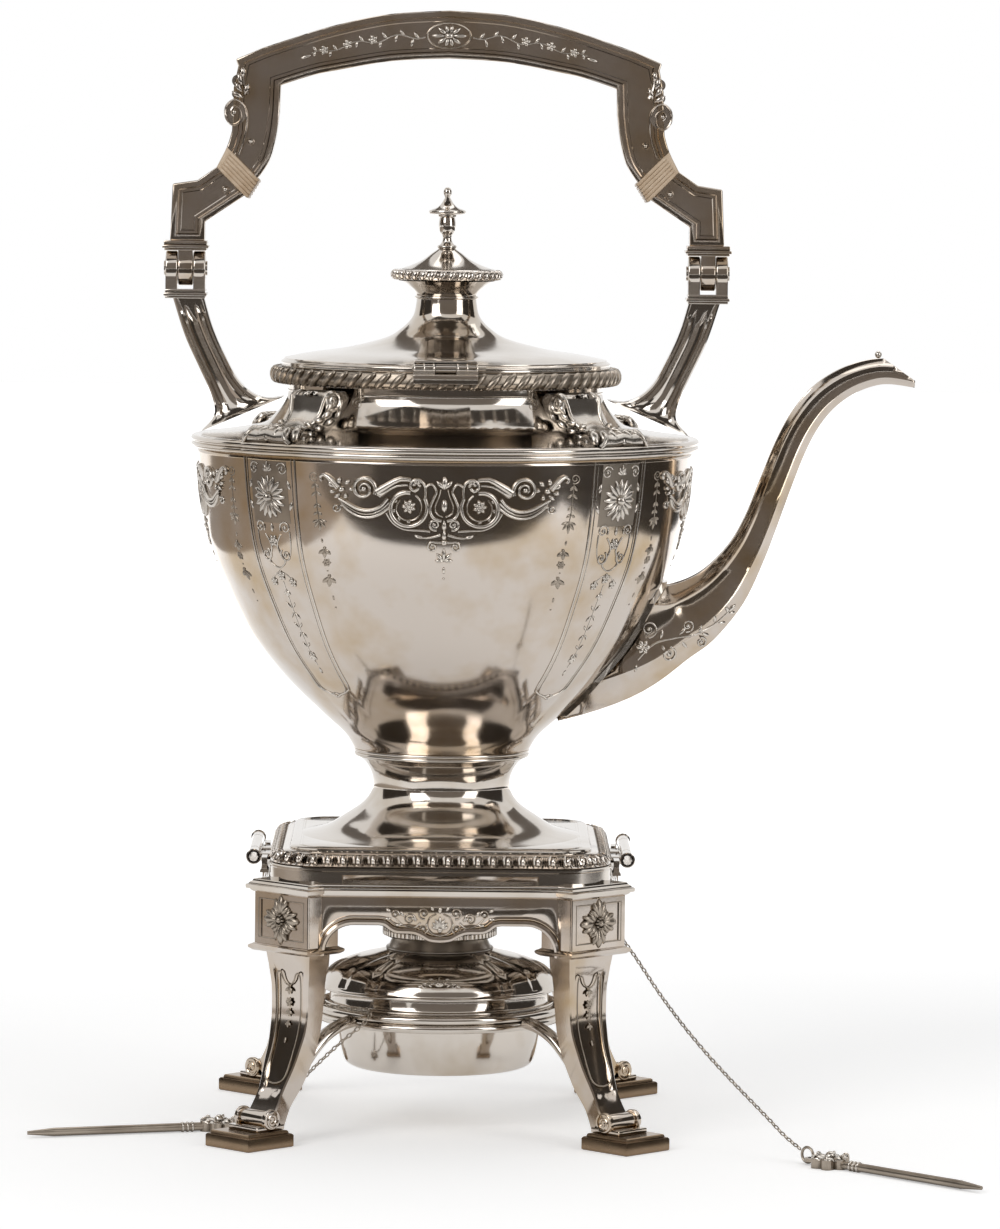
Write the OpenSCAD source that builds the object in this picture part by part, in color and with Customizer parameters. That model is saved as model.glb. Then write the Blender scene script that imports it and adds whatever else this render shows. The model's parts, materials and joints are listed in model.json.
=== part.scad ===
// Silver spirit kettle on its stand, with the spirit lamp below it and both retaining pins
// drawn out on their chains. Millimetres: X runs towards the spout, Y to the back, Z up.
// The origin is under the middle of the whole outline, on the table.

/* [Stand] */
// Height of the stand's top, where the kettle's foot rests
stand_h = 88.3; // [84:0.1:96]
// Distance from the axis to the outer face of an apron
apron_half = 58; // [57:0.1:59.5]
// Thickness of an apron
apron_t = 2.4; // [1.6:0.1:3.5]
// Height of the corner posts and aprons below the cornice
post_h = 18.7; // [17.5:0.1:21]
// Width of a corner post's face
post_w = 25.9; // [24:0.1:27]
// How far a post's face stands out from the aprons' corner line
post_out = 6.5; // [5:0.1:8]
// Height of the cornice
cornice_h = 4.3; // [3.6:0.1:5.5]
// Overhang of the cornice
cornice_over = 2.25; // [1.6:0.05:2.8]
// Half width of the square hole in the top frame
flue_half = 47; // [44:0.5:50]
// Height of the middle drop of an apron
apron_drop = 5.8; // [3:0.1:7]
// Radius of the arches at the ends of an apron
arch_r = 9.8; // [8:0.1:10.6]
// Width of the rolled bead along an apron's lower edge
bead_w = 2.1; // [1.4:0.1:3]

/* [Legs and feet] */
// Distance from the axis to the middle of a foot pad, along the diagonal
pad_at = 89.2; // [88:0.1:91]
// Width of a foot pad
pad_w = 20.9; // [18:0.1:22]
// Height of a foot pad
pad_h = 5.6; // [4.5:0.1:7]
// Radius of the roll at the bottom of a leg
roll_r = 3.5; // [2.8:0.1:4]
// Width of a leg at its waist
leg_w = 17.6; // [15:0.1:19]
// Depth of a leg at its waist
leg_d = 8.2; // [6.5:0.1:9]
// Depth of the sunk panels on the legs and posts
panel_sink = 0.6; // [0.3:0.1:1]

/* [Lamp] */
// Height of the top of the lamp ring
ring_top = 41.3; // [39:0.1:43]
// Outer radius of the lamp ring
ring_r = 43; // [42.5:0.1:45]
// Height of the lamp ring
ring_h = 5.8; // [4.5:0.1:7]
// Gap between the lamp ring and the lamp's bowl
ring_gap = 0.7; // [0.4:0.1:1.2]
// Radius of the lamp's bowl just under its flange
lamp_r = 35.3; // [33:0.1:36]
// Depth of the lamp's bowl under the flange
lamp_d = 21.8; // [18:0.1:24]
// Radius of the lip round the lamp's cover
lamp_lip_r = 40.9; // [40:0.1:41]
// Rise of the lamp's cover from its lip to the neck
lamp_rise = 13.4; // [11:0.1:15]
// Radius of the milled burner cap
cap_r = 19.7; // [18:0.1:21]
// Height of the milled burner cap
cap_h = 3.9; // [3:0.1:5]
// Radius of the wick
wick_r = 4; // [3:0.1:5]
// Wall of the lamp and of the other sheet silver
sheet = 1.2; // [0.9:0.1:1.5]

/* [Kettle foot] */
// Distance from the axis to the outer face of the foot's band
band_half = 57.6; // [56.8:0.1:57.6]
// Corner radius of the foot
foot_corner_r = 20; // [14:0.5:24]
// Height of the band under the foot's border
band_h = 5.2; // [4.5:0.1:6]
// Height of the air openings at the bottom of the band
vent_h = 2.9; // [2:0.1:3.4]
// Half width of an air opening
vent_half = 33; // [28:0.5:35]
// Height of the egg and dart border
border_h = 4.5; // [3.8:0.1:5.5]
// Number of eggs along one side of the border
border_eggs = 14; // [10:1:18]
// Radius of the foot's neck at its waist
waist_r = 23.6; // [22.5:0.1:26]
// Radius of the collar under the body
collar_r = 30.2; // [29:0.1:32]
// Height of the foot from the stand's top to the body
foot_h = 40.8; // [38:0.1:44]

/* [Kettle body] */
// Radius of the body under its rim
body_r = 84.7; // [82:0.1:85.5]
// Height of the body from its foot to the rim
body_h = 102.8; // [96:0.1:108]
// How far the rim moulding stands out past the body
rim_over = 2.4; // [1.7:0.1:3.2]
// Height of the rim moulding
rim_h = 4.4; // [3.8:0.1:5.5]
// Radius of the neck
neck_r = 53.9; // [53:0.1:54.6]
// Height of the shoulder and neck above the rim
shoulder_h = 18; // [16.5:0.1:20]
// Outer radius of the gadrooned collar
gadroon_r = 60.1; // [59.9:0.1:60.6]
// Height of the gadrooned collar
gadroon_h = 5.2; // [4.5:0.1:6]
// Number of gadroons round the collar
gadroons = 72; // [48:4:88]
// Half angle of a pilaster strip
pilaster_half = 8.4; // [6:0.1:10]
// Thickness of a pilaster strip
pilaster_t = 0.7; // [0.5:0.1:1]

/* [Spout] */
// Distance from the axis to the tip of the spout
spout_reach = 160.5; // [158:0.5:164]
// Height of the spout's tip above the rim moulding
spout_rise = 20.6; // [18:0.1:24]
// Width of the spout at its narrow end
spout_w = 8.4; // [8:0.1:9.4]
// Wall of the spout
spout_wall = 0.9; // [0.7:0.05:1.1]
// Radius of one strainer hole behind the spout
strainer_r = 1.8; // [1.2:0.1:2.2]

/* [Lid] */
// Radius of the lid
lid_r = 56.3; // [56:0.1:56.5]
// Height of the lid's cover, up to the flange under the finial
lid_h = 29.8; // [28:0.1:32]
// Radius of the flange under the finial
flange_r = 18.7; // [17:0.1:20]
// Height of the finial above its flange
finial_h = 27.8; // [25:0.1:29]
// Gap round the ring inside the lid
bezel_gap = 0.5; // [0.4:0.05:0.8]
// Width of the lid's hinge
hinge_w = 21.6; // [18:0.2:24]
// Radius of a hinge knuckle
hinge_r = 1.7; // [1.5:0.05:1.7]
// Radius of the hinge pin
hinge_pin_r = 0.8; // [0.6:0.05:1]

/* [Bail handle] */
// How far out past the body the middle of a bail knuckle stands
knuckle_out = 4.5; // [3.9:0.1:5.3]
// Height of the bail's hinge above the top of the gadrooned collar
knuckle_rise = 33.1; // [32:0.1:36]
// Width of a bail knuckle
knuckle_w = 13.6; // [12:0.1:14.4]
// Radius of a bail knuckle
knuckle_r = 5.9; // [5.2:0.1:5.9]
// Radius of the bail's hinge pins
bail_pin_r = 2; // [1.5:0.1:2.4]
// Height of the bail above its hinge
bail_h = 88.6; // [86:0.1:92]
// Thickness of the bail, from front to back
bail_t = 11; // [9:0.1:12]
// Width of the heat stops let into the bail
stop_w = 7.3; // [6:0.1:8.5]
// Running clearance of the hinge pins
run_gap = 0.05; // [0.02:0.01:0.09]
// Side clearance between hinge leaves
side_gap = 0.2; // [0.15:0.05:0.3]

/* [Pins and chains] */
// Outer radius of the hinge tubes that the retaining pins go through
tube_r = 2.25; // [2.1:0.05:2.4]
// Bore radius of the hinge tubes
tube_bore_r = 1.6; // [1.5:0.05:1.75]
// Distance from the axis to the tubes
tube_x = 63.5; // [63.2:0.1:64.2]
// Height of the tubes above the stand's top
tube_rise = 5.7; // [5.2:0.1:6.2]
// Length of the row of tubes
tubes_len = 60; // [52:1:64]
// Length of the middle tube, which is the kettle's
tube_mid_len = 35.4; // [30:0.2:40]
// Radius of a retaining pin
pin_r = 1.45; // [1.2:0.05:1.45]
// Length of a retaining pin from its rosette's middle to its tip
pin_len = 67; // [60:0.5:72]
// Radius of a retaining pin's rosette
rosette_r = 6.6; // [5.5:0.1:7.5]
// Diameter of the chains
chain_d = 1.7; // [1.4:0.1:2]

/* [Hidden] */
$fn = 96;

silver = "#c9c5bf";
dark_silver = "#8f8a82";
worn_silver = "#9c8a74";
bone = "#e3d8c3";
cotton = "#efeae0";

// Heights that pieces share
block_bottom = stand_h - cornice_h - post_h;
cornice_z = stand_h - cornice_h;
band_top = stand_h + band_h;
plate_z = band_top + border_h;
body_z = stand_h + foot_h;
rim_z = body_z + body_h;
shoulder_z = rim_z + rim_h;
gadroon_z = shoulder_z + shoulder_h;
lid_z = gadroon_z + gadroon_h;
flange_z = lid_z + lid_h;
knuckle_z = lid_z + knuckle_rise;
bail_top = knuckle_z + bail_h;
spout_tip_z = shoulder_z + spout_rise;
tube_z = stand_h + tube_rise;

// Lengths that pieces share
pin_head_t = 0.6;
rim_r = body_r + rim_over;
knuckle_x = body_r + knuckle_out;
bail_reach = knuckle_x + knuckle_w / 2 + pin_head_t;
axis_x = (bail_reach - spout_reach) / 2;
corner_line = apron_half * sqrt(2) - post_w / 2;
post_face = corner_line + post_out;
moulding_over = 1.6;
moulding_h = 2.5;
waist_face = post_face - 4.1;
neck_in = neck_r - sheet;
mid_half = tube_mid_len / 2;
leaf_half = 2.5;
hinge_y = -lid_r - hinge_r - 0.3;
hinge_z = lid_z + hinge_r + 0.3;
hinge_mid = hinge_w / 6;
step_t = 0.01;

// Curve and sweep helpers

function unit(v) = v / norm(v);
function rev(p) = [for (i = [len(p) - 1:-1:0]) p[i]];
function flip(p) = [for (q = p) [-q[0], q[1]]];

// A smooth run between b and c, with a and d as its neighbours
function blend(a, b, c, d, t) =
    0.5 * (2 * b + (c - a) * t + (2 * a - 5 * b + 4 * c - d) * t * t
    + (3 * b - a - 3 * c + d) * t * t * t);

// A smooth curve through all points, with n steps between each two
function curve(p, n) = [
    for (i = [0:len(p) - 2]) for (k = [0:n - 1])
        blend(p[max(i - 1, 0)], p[i], p[i + 1], p[min(i + 2, len(p) - 1)], k / n),
    p[len(p) - 1]];

// The direction of a curve at its point i
function heading(p, i) = unit(p[min(i + 1, len(p) - 1)] - p[max(i - 1, 0)]);

// A flat curve moved sideways, to the right of its direction
function shifted(p, d) = [
    for (i = [0:len(p) - 1]) let (t = heading(p, i)) p[i] + d * [t[1], -t[0]]];

// The inner side of a wall, with its two ends level with the outer side's
function inner_side(p, wall) = let (q = shifted(p, -wall), last = len(p) - 1) [
    for (i = [0:last])
        i == 0 || i == last ? [p[i][0] - wall, p[i][1]] : q[i]];

module revolved_wall(p, wall) {
    rotate_extrude() polygon(concat(p, rev(inner_side(p, wall))));
}

function arc_points(c, r, from, to, n) = [
    for (i = [0:n]) let (a = from + (to - from) * i / n) c + r * [cos(a), sin(a)]];

// Side vectors that follow a path without twisting
function sides(t, m, i = 0) = i == len(t) ? []
    : let (s = unit(m - (m * t[i]) * t[i])) concat([s], sides(t, s, i + 1));

// A round tube along a path
module tube_along(p, r, n) {
    last = len(p) - 1;
    t = [for (i = [0:last]) heading(p, i)];
    s = sides(t, [0.1, 0.9, 0.3]);
    rings = [for (i = [0:last]) for (k = [0:n - 1])
        p[i] + r * (cos(360 * k / n) * s[i] + sin(360 * k / n) * cross(t[i], s[i]))];
    walls = [for (i = [0:last - 1]) for (k = [0:n - 1]) let (
        a = i * n + k, b = i * n + (k + 1) % n) each [[a, b, b + n], [a, b + n, a + n]]];
    ends = [[for (k = [n - 1:-1:0]) k], [for (k = [0:n - 1]) last * n + k]];
    polyhedron(concat(rings, p), concat(
        [for (f = walls) [f[2], f[1], f[0]]],
        [for (k = [0:n - 1]) [len(rings), k, (k + 1) % n]],
        [for (k = [0:n - 1]) [len(rings) + last, last * n + (k + 1) % n, last * n + k]]));
}

module at_axis() {
    translate([axis_x, 0, 0]) children();
}

module at_corners() {
    for (i = [0:3]) rotate([0, 0, 45 + 90 * i]) children();
}

// Stand

// Outline of the stand in plan, grown by d
module stand_plan(d) {
    intersection() {
        square(2 * (apron_half + d), center = true);
        rotate(45) square(2 * (corner_line + 1), center = true);
    }
    for (i = [0:3]) rotate(45 + 90 * i) post_plan(d);
}

module post_plan(d) {
    translate([corner_line - 8, -post_w / 2 - d]) square([8 + post_out + d, post_w + 2 * d]);
}

module rounded_square(half, r) {
    square([2 * half, 2 * (half - r)], center = true);
    square([2 * (half - r), 2 * half], center = true);
    for (x = [-1, 1], y = [-1, 1]) translate([x * (half - r), y * (half - r)]) circle(r);
}

// Steps of the cornice: share of its height, and share of its overhang
cornice_steps = [[0, 0.45], [0.22, 1], [0.58, 0.75], [0.78, 0.4], [1, 0]];

module top_frame() {
    color(silver) at_axis() difference() {
        for (i = [0:len(cornice_steps) - 2])
            translate([0, 0, cornice_z + cornice_h * cornice_steps[i][0]])
                linear_extrude(cornice_h * (cornice_steps[i + 1][0] - cornice_steps[i][0]))
                    stand_plan(cornice_over * cornice_steps[i][1]);
        translate([0, 0, cornice_z - 1])
            linear_extrude(cornice_h + 2) rounded_square(flue_half, 12);
    }
}

// Lower edge of an apron, from its middle to its right end
drop_z = cornice_z - 9.3;
end_x = corner_line * sqrt(2) - apron_half + 2;
edge_half = concat(
    curve([for (q = [[0, 1], [3.6, 0.93], [6.6, 0.66], [9.2, 0.51], [14.4, 0.47],
        [16.8, 0.3], [18.6, 0.07], [20.6, 0]]) [q[0], drop_z - apron_drop * q[1]]], 4),
    arc_points([end_x - arch_r - 3, drop_z - arch_r], arch_r, 90, 0, 8));
apron_edge = concat(rev(flip(edge_half)), [for (i = [1:len(edge_half) - 1]) edge_half[i]]);

module apron_shape(edge) {
    low = block_bottom - moulding_h / 4;
    polygon(concat([[-end_x - 2, cornice_z], [-end_x - 2, low], [edge[0][0], low]], edge,
        [[-edge[0][0], low], [end_x + 2, low], [end_x + 2, cornice_z]]));
}

// A flat apron and the bead along its lower edge, in front of the kettle's axis
module apron() {
    raised = 0.9;
    inner = shifted(apron_edge, -bead_w);
    difference() {
        union() {
            translate([0, -apron_half, 0]) rotate([90, 0, 0]) mirror([0, 0, 1])
                linear_extrude(apron_t) apron_shape(apron_edge);
            translate([0, -apron_half, 0]) rotate([90, 0, 0])
                linear_extrude(raised) polygon(concat(apron_edge, rev(inner)));
        }
        at_corners() post_solid();
    }
}

module side_apron(turn) {
    color(silver) at_axis() rotate([0, 0, turn]) apron();
}

// The post block with its lower moulding
module post_solid() {
    back = corner_line - 8;
    translate([back, -post_w / 2, block_bottom])
        cube([post_face - back, post_w, post_h]);
    translate([back, -post_w / 2 - moulding_over, block_bottom - moulding_h / 2])
        cube([post_face + moulding_over - back, post_w + 2 * moulding_over, moulding_h]);
}

leg_bottom = pad_h;
roll_at = [pad_at - 3, pad_h + roll_r + 0.1];
leg_h = block_bottom - leg_bottom;
leg_front = curve([[waist_face + 1.4, block_bottom], [waist_face + 0.4, leg_bottom + 0.86 * leg_h],
    [waist_face, leg_bottom + 0.74 * leg_h], [waist_face + 0.1, leg_bottom + 0.61 * leg_h],
    [waist_face + 1.7, leg_bottom + 0.48 * leg_h], [waist_face + 5.3, leg_bottom + 0.325 * leg_h],
    [waist_face + 9.9, leg_bottom + 0.165 * leg_h],
    [roll_at[0] - 0.4, roll_at[1] + roll_r * 0.8]], 4);
leg_back = curve([[waist_face + 7.8, leg_bottom], [waist_face + 5.2, leg_bottom + 0.09 * leg_h],
    [waist_face + 0.9, leg_bottom + 0.21 * leg_h], [waist_face - 2.8, leg_bottom + 0.34 * leg_h],
    [waist_face - leg_d + 1.8, leg_bottom + 0.51 * leg_h],
    [waist_face - leg_d + 0.2, leg_bottom + 0.69 * leg_h],
    [waist_face - leg_d - 0.4, leg_bottom + 0.86 * leg_h],
    [waist_face - leg_d - 0.8, block_bottom]], 4);
leg_edge = curve([[leg_w / 2 - 2.2, leg_bottom], [leg_w / 2 - 2.9, leg_bottom + 0.16 * leg_h],
    [leg_w / 2 - 1.2, leg_bottom + 0.33 * leg_h], [leg_w / 2 - 0.2, leg_bottom + 0.49 * leg_h],
    [leg_w / 2, leg_bottom + 0.78 * leg_h], [leg_w / 2 + 0.8, leg_bottom + 0.88 * leg_h],
    [leg_w / 2 + 1.8, block_bottom]], 4);

module along_side(w) {
    translate([0, w / 2, 0]) rotate([90, 0, 0]) linear_extrude(w) children();
}

module along_diagonal(from, to) {
    translate([from, 0, 0]) rotate([90, 0, 90]) linear_extrude(to - from) children();
}

module leg_solid() {
    intersection() {
        along_side(post_w) polygon(concat(leg_front, [[roll_at[0], leg_bottom]], leg_back));
        along_diagonal(waist_face - 30, post_face + 30)
            polygon(concat(leg_edge, rev(flip(leg_edge))));
    }
}

// Sunk panel down the front of a leg, with a round-shouldered top
module leg_panel() {
    rim = 2.6;
    skin = [for (q = leg_front) q + [6, 0]];
    panel_edge = [for (q = leg_edge) if (q[1] > leg_bottom + 0.17 * leg_h
        && q[1] < block_bottom - 5) [q[0] - rim, q[1]]];
    intersection() {
        along_side(post_w) polygon(concat(shifted(leg_front, -panel_sink), rev(skin)));
        along_diagonal(waist_face - 30, post_face + 30)
            polygon(concat(panel_edge, [[2, block_bottom - 7]], [[-2, block_bottom - 7]],
                rev(flip(panel_edge))));
    }
}

module leg(turn) {
    panel_w = post_w - 7;
    panel_h = post_h - 5;
    color(silver) at_axis() rotate([0, 0, turn]) difference() {
        union() {
            leg_solid();
            post_solid();
            translate([roll_at[0], leg_w / 2 - 2, roll_at[1]])
                rotate([90, 0, 0]) cylinder(h = leg_w - 4, r = roll_r);
            translate([roll_at[0] - roll_r - 3, -(leg_w - 4) / 2, leg_bottom])
                cube([2 * roll_r + 5, leg_w - 4, roll_r * 0.6]);
        }
        leg_panel();
        translate([post_face - panel_sink, -panel_w / 2, block_bottom + moulding_h / 2 + 1.2])
            cube([panel_sink + 1, panel_w, panel_h - moulding_h / 2]);
    }
}

module foot_pads() {
    chamfer = 1;
    color(worn_silver) at_axis() at_corners() translate([pad_at, 0, 0]) {
        translate([-pad_w / 2, -pad_w / 2, 0]) cube([pad_w, pad_w, pad_h - chamfer]);
        translate([-pad_w / 2 + chamfer, -pad_w / 2 + chamfer, pad_h - chamfer])
            cube([pad_w - 2 * chamfer, pad_w - 2 * chamfer, chamfer]);
    }
}

// A pointed leaf shape, from the centre outwards
module petal(length, width) {
    r = (length * length / 4 + width * width / 4) / width;
    translate([length / 2, 0]) intersection() {
        translate([0, r - width / 2]) circle(r);
        translate([0, width / 2 - r]) circle(r);
    }
}

module corner_rosettes() {
    reach = 7.6;
    mid_z = block_bottom + moulding_h / 2 + 1.2 + (post_h - 5 - moulding_h / 2) / 2;
    color(silver) at_axis() at_corners()
        translate([post_face - panel_sink, 0, mid_z]) rotate([0, 90, 0]) {
            linear_extrude(1) for (i = [0:3]) rotate(45 + 90 * i) petal(reach, 5.4);
            linear_extrude(0.7) for (i = [0:3]) rotate(90 * i) petal(reach - 1.6, 3.6);
            cylinder(h = 1.8, r = 1.9);
        }
}

module lamp_ring() {
    inner = lamp_r + ring_gap;
    bead = ring_h / 4;
    color(silver) at_axis() rotate_extrude() polygon(concat(
        [[inner, ring_top - ring_h]],
        arc_points([ring_r - bead, ring_top - ring_h + bead], bead, -90, 90, 10),
        [[ring_r - bead - 0.3, ring_top - ring_h / 2]],
        arc_points([ring_r - bead, ring_top - bead], bead, -80, 90, 10),
        [[inner, ring_top]]));
}

module bracket_shape() {
    top = curve([[ring_r - 4, ring_top - 1.6], [ring_r + 6, ring_top - 2.6],
        [ring_r + 13.5, ring_top - 6.2], [ring_r + 20, ring_top - 12.4],
        [ring_r + 26, ring_top - 18.6], [ring_r + 33, ring_top - 21.6]], 4);
    under = curve([[ring_r + 33, ring_top - 25.4], [ring_r + 24, ring_top - 21.8],
        [ring_r + 17, ring_top - 14.8], [ring_r + 11, ring_top - 9.3],
        [ring_r + 5, ring_top - 6], [ring_r - 4, ring_top - 5]], 4);
    polygon(concat(top, under));
}

module lamp_brackets() {
    color(silver) at_axis() difference() {
        at_corners() difference() {
            along_side(6) bracket_shape();
            leg_solid();
        }
        translate([0, 0, ring_top - ring_h - 4]) cylinder(h = ring_h + 8, r = ring_r - 0.2);
        beads_space();
    }
}

// The outer side of the lamp ring, which the brackets are cut to fit
module beads_space() {
    bead = ring_h / 4;
    rotate_extrude() polygon(concat(
        [[ring_r - 3 * bead, ring_top - ring_h]],
        arc_points([ring_r - bead, ring_top - ring_h + bead], bead, -90, 90, 10),
        [[ring_r - bead - 0.3, ring_top - ring_h / 2]],
        arc_points([ring_r - bead, ring_top - bead], bead, -80, 90, 10),
        [[ring_r - 3 * bead, ring_top]]));
}

// A tube along Y between two distances from the middle
module y_tube(x, z, from, to, r) {
    translate([x, to, z]) rotate([90, 0, 0]) cylinder(h = to - from, r = r);
}

module stand_tubes() {
    near = mid_half + side_gap;
    far = tubes_len / 2;
    foot_x = band_half + 1.2;
    color(silver) at_axis() for (side = [-1, 1], end = [-1, 1]) scale_sides(side, end)
        difference() {
            union() {
                y_tube(tube_x, tube_z, near, far, tube_r);
                y_tube(tube_x, tube_z, far - 2.6, far - 1.2, tube_r + 0.4);
                translate([foot_x, near, stand_h]) cube([apron_half + 1.6 - foot_x + 1.4,
                    far - near - 3, tube_rise]);
            }
            y_tube(tube_x, tube_z, near - 1, far + 1, tube_bore_r);
        }
}

// Copies what is drawn at the right back to the left or the front
module scale_sides(side, end) {
    mirror([side < 0 ? 1 : 0, 0, 0]) mirror([0, end < 0 ? 1 : 0, 0]) children();
}

eye_y = -31;
eye_z = cornice_z - 5.8;
eye_ring = 1.5;
eye_wire = 0.45;

module chain_eyes() {
    color(silver) at_axis() for (side = [-1, 1]) mirror([side < 0 ? 1 : 0, 0, 0]) {
        translate([apron_half, eye_y, eye_z]) rotate([0, 90, 0]) cylinder(h = 2.6, r = 1);
        translate([apron_half + 2, eye_y, eye_z - eye_ring]) rotate([0, 90, 0])
            rotate_extrude() translate([eye_ring, 0]) circle(eye_wire, $fn = 24);
    }
}

// Chain routes, from the eye on the apron to the ring of the pin
right_route = [[60, -31, 74.2], [60.8, -31.4, 69.4], [63.5, -34, 65.6], [67, -37, 61],
    [74.5, -43.5, 50.4], [82, -49.5, 41], [89, -55.5, 33.2], [96, -62, 26.2],
    [103, -68, 19.6], [110, -74.5, 13.2], [115.6, -80.2, 8], [120.6, -85.7, 4.5]];
left_route = [[-60, -31, 74.2], [-60, -31, 69], [-57.5, -31.5, 62], [-52.5, -33, 54.5],
    [-46, -35, 48.5], [-39.5, -36, 45], [-33, -36, 43.4], [-28, -35.2, 43],
    [-24.4, -36.2, 43], [-23.4, -39.4, 41.4], [-26, -42, 38.4], [-30.6, -42.4, 34.6],
    [-36, -41, 29.6], [-42, -38.5, 23.4], [-49, -35, 16], [-55.5, -30, 12],
    [-59.8, -26, 8.1], [-62.3, -26.3, 5.5]];

module left_chain() {
    color(dark_silver) at_axis() tube_along(curve(left_route, 2), chain_d / 2, 8);
}

module right_chain() {
    color(dark_silver) at_axis() tube_along(curve(right_route, 2), chain_d / 2, 8);
}

right_pin_at = [130, -95.5];
right_pin_turn = -46.5;
left_pin_at = [-74.5, -30];
left_pin_turn = 197.4;
ring_wire = 0.5;
ring_mid_r = 2.5;
link_at = rosette_r + 1.6;
link_r = 2;
pin_lift = 1.7;
ring_back = sqrt(ring_mid_r * ring_mid_r - pow(ring_mid_r + ring_wire - pin_lift, 2));

// A retaining pin lying on the table, its rosette's middle at the origin and its tip at +X
module retaining_pin() {
    taper = 9;
    link_t = 2 * ring_wire + 0.2;
    linear_extrude(3.2) polygon([for (i = [0:47])
        let (r = rosette_r * (0.68 + 0.32 * abs(sin(22.5 * i + 90))))
            r * [cos(7.5 * i), sin(7.5 * i)]]);
    translate([0, 0, 3.2]) cylinder(h = 0.6, r = rosette_r * 0.3);
    translate([rosette_r * 0.4, 0, pin_lift]) rotate([0, 90, 0])
        cylinder(h = pin_len - taper - rosette_r * 0.4, r = pin_r);
    translate([pin_len - taper, 0, pin_lift]) rotate([0, 90, 0])
        cylinder(h = taper, r1 = pin_r, r2 = pin_r * 0.45);
    translate([-link_at, 0, pin_lift - link_t / 2]) difference() {
        cylinder(h = link_t, r = link_r + ring_wire);
        translate([0, 0, -1]) cylinder(h = link_t + 2, r = link_r - ring_wire);
    }
}

module left_pin() {
    color(silver) at_axis() translate(left_pin_at) rotate([0, 0, left_pin_turn])
        retaining_pin();
}

module right_pin() {
    color(silver) at_axis() translate(right_pin_at) rotate([0, 0, right_pin_turn])
        retaining_pin();
}

module pin_ring() {
    translate([-link_at - ring_back, 0, ring_mid_r + ring_wire]) rotate([90, 0, 0])
        rotate_extrude() translate([ring_mid_r, 0]) circle(ring_wire, $fn = 24);
}

module pin_rings() {
    color(silver) at_axis() {
        translate(left_pin_at) rotate([0, 0, left_pin_turn]) pin_ring();
        translate(right_pin_at) rotate([0, 0, right_pin_turn]) pin_ring();
    }
}

// Lamp

lamp_bottom = ring_top - lamp_d;
lamp_band_r = lamp_r + 2.4;
lamp_flange_r = lamp_r + 4.2;
cover_z = ring_top + 4.9;
neck_z = cover_z + lamp_rise;
neck_h = 4.4;
cap_z = neck_z + neck_h;
neck_bore = 10;

module lamp_bowl() {
    side = curve([[lamp_r - 5, lamp_bottom], [lamp_r - 3.2, lamp_bottom + 1.2],
        [lamp_r - 1.9, lamp_bottom + 4.5], [lamp_r - 0.8, lamp_bottom + 11],
        [lamp_r, ring_top - 0.4]], 5);
    color(silver) at_axis() rotate_extrude() polygon(concat(
        [[0, lamp_bottom + 0.6], [lamp_r - 9, lamp_bottom + 0.6], [lamp_r - 8, lamp_bottom]],
        side,
        [[lamp_r, ring_top], [lamp_flange_r, ring_top], [lamp_flange_r, ring_top + 0.9],
        [lamp_band_r, ring_top + 1.3], [lamp_band_r, cover_z],
        [lamp_band_r - sheet, cover_z], [lamp_band_r - sheet, ring_top + 2.2],
        [lamp_r - sheet, ring_top + 0.6]],
        [for (i = [len(side) - 1:-1:3]) side[i] - [sheet, 0]],
        [[lamp_r - 6, lamp_bottom + 0.6 + sheet], [0, lamp_bottom + 0.6 + sheet]]));
}

module lamp_cover() {
    top = curve(concat([for (q = [[0.6, 0.13], [1.2, 0.26], [2.9, 0.46], [6.7, 0.66],
        [13.2, 0.83], [19, 0.93]]) [lamp_lip_r - q[0], cover_z + lamp_rise * q[1]]],
        [[lamp_r - 17.1, neck_z]]), 4);
    color(silver) at_axis() rotate_extrude() polygon(concat(
        [[lamp_band_r - sheet, cover_z], [lamp_lip_r - 0.6, cover_z],
        [lamp_lip_r, cover_z + 0.6], [lamp_lip_r, cover_z + 1.3]],
        top, [[neck_bore, neck_z], [neck_bore, neck_z - sheet]],
        rev(shifted(top, -sheet)), [[lamp_band_r - sheet, cover_z + 1]]));
}

module lamp_neck() {
    base = lamp_r - 17.1;
    color(dark_silver) at_axis() translate([0, 0, neck_z]) difference() {
        union() {
            cylinder(h = 0.8, r = base);
            translate([0, 0, 0.8]) cylinder(h = neck_h - 0.8, r1 = base - 0.6, r2 = base - 2.2);
        }
        translate([0, 0, -1]) cylinder(h = neck_h + 2, r = neck_bore);
    }
}

tube_wall = 0.8;
wick_tube_r = wick_r + tube_wall;

module burner_cap() {
    teeth = 60;
    notch = 0.45;
    skirt_r = neck_bore - 0.35;
    color(silver) at_axis() translate([0, 0, cap_z]) difference() {
        union() {
            translate([0, 0, 0.5]) linear_extrude(cap_h - 1) polygon([
                for (i = [0:2 * teeth - 1]) let (r = cap_r - (i % 2) * notch)
                    r * [cos(180 * i / teeth), sin(180 * i / teeth)]]);
            cylinder(h = cap_h, r = cap_r - 1);
            translate([0, 0, -neck_h]) cylinder(h = neck_h + 1, r = skirt_r);
        }
        translate([0, 0, -neck_h - 1])
            cylinder(h = neck_h + cap_h + 2, r = wick_tube_r + step_t);
    }
}

module wick_tube() {
    low = lamp_bottom + 9;
    high = cap_z + cap_h + 2.4;
    color(dark_silver) at_axis() translate([0, 0, low]) difference() {
        cylinder(h = high - low, r = wick_tube_r);
        translate([0, 0, -1]) cylinder(h = high - low + 2, r = wick_r);
    }
}

module wick() {
    low = lamp_bottom + 5;
    high = cap_z + cap_h + 4.2;
    color(cotton) at_axis() translate([0, 0, low]) cylinder(h = high - low, r = wick_r);
}

// Kettle foot

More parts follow.
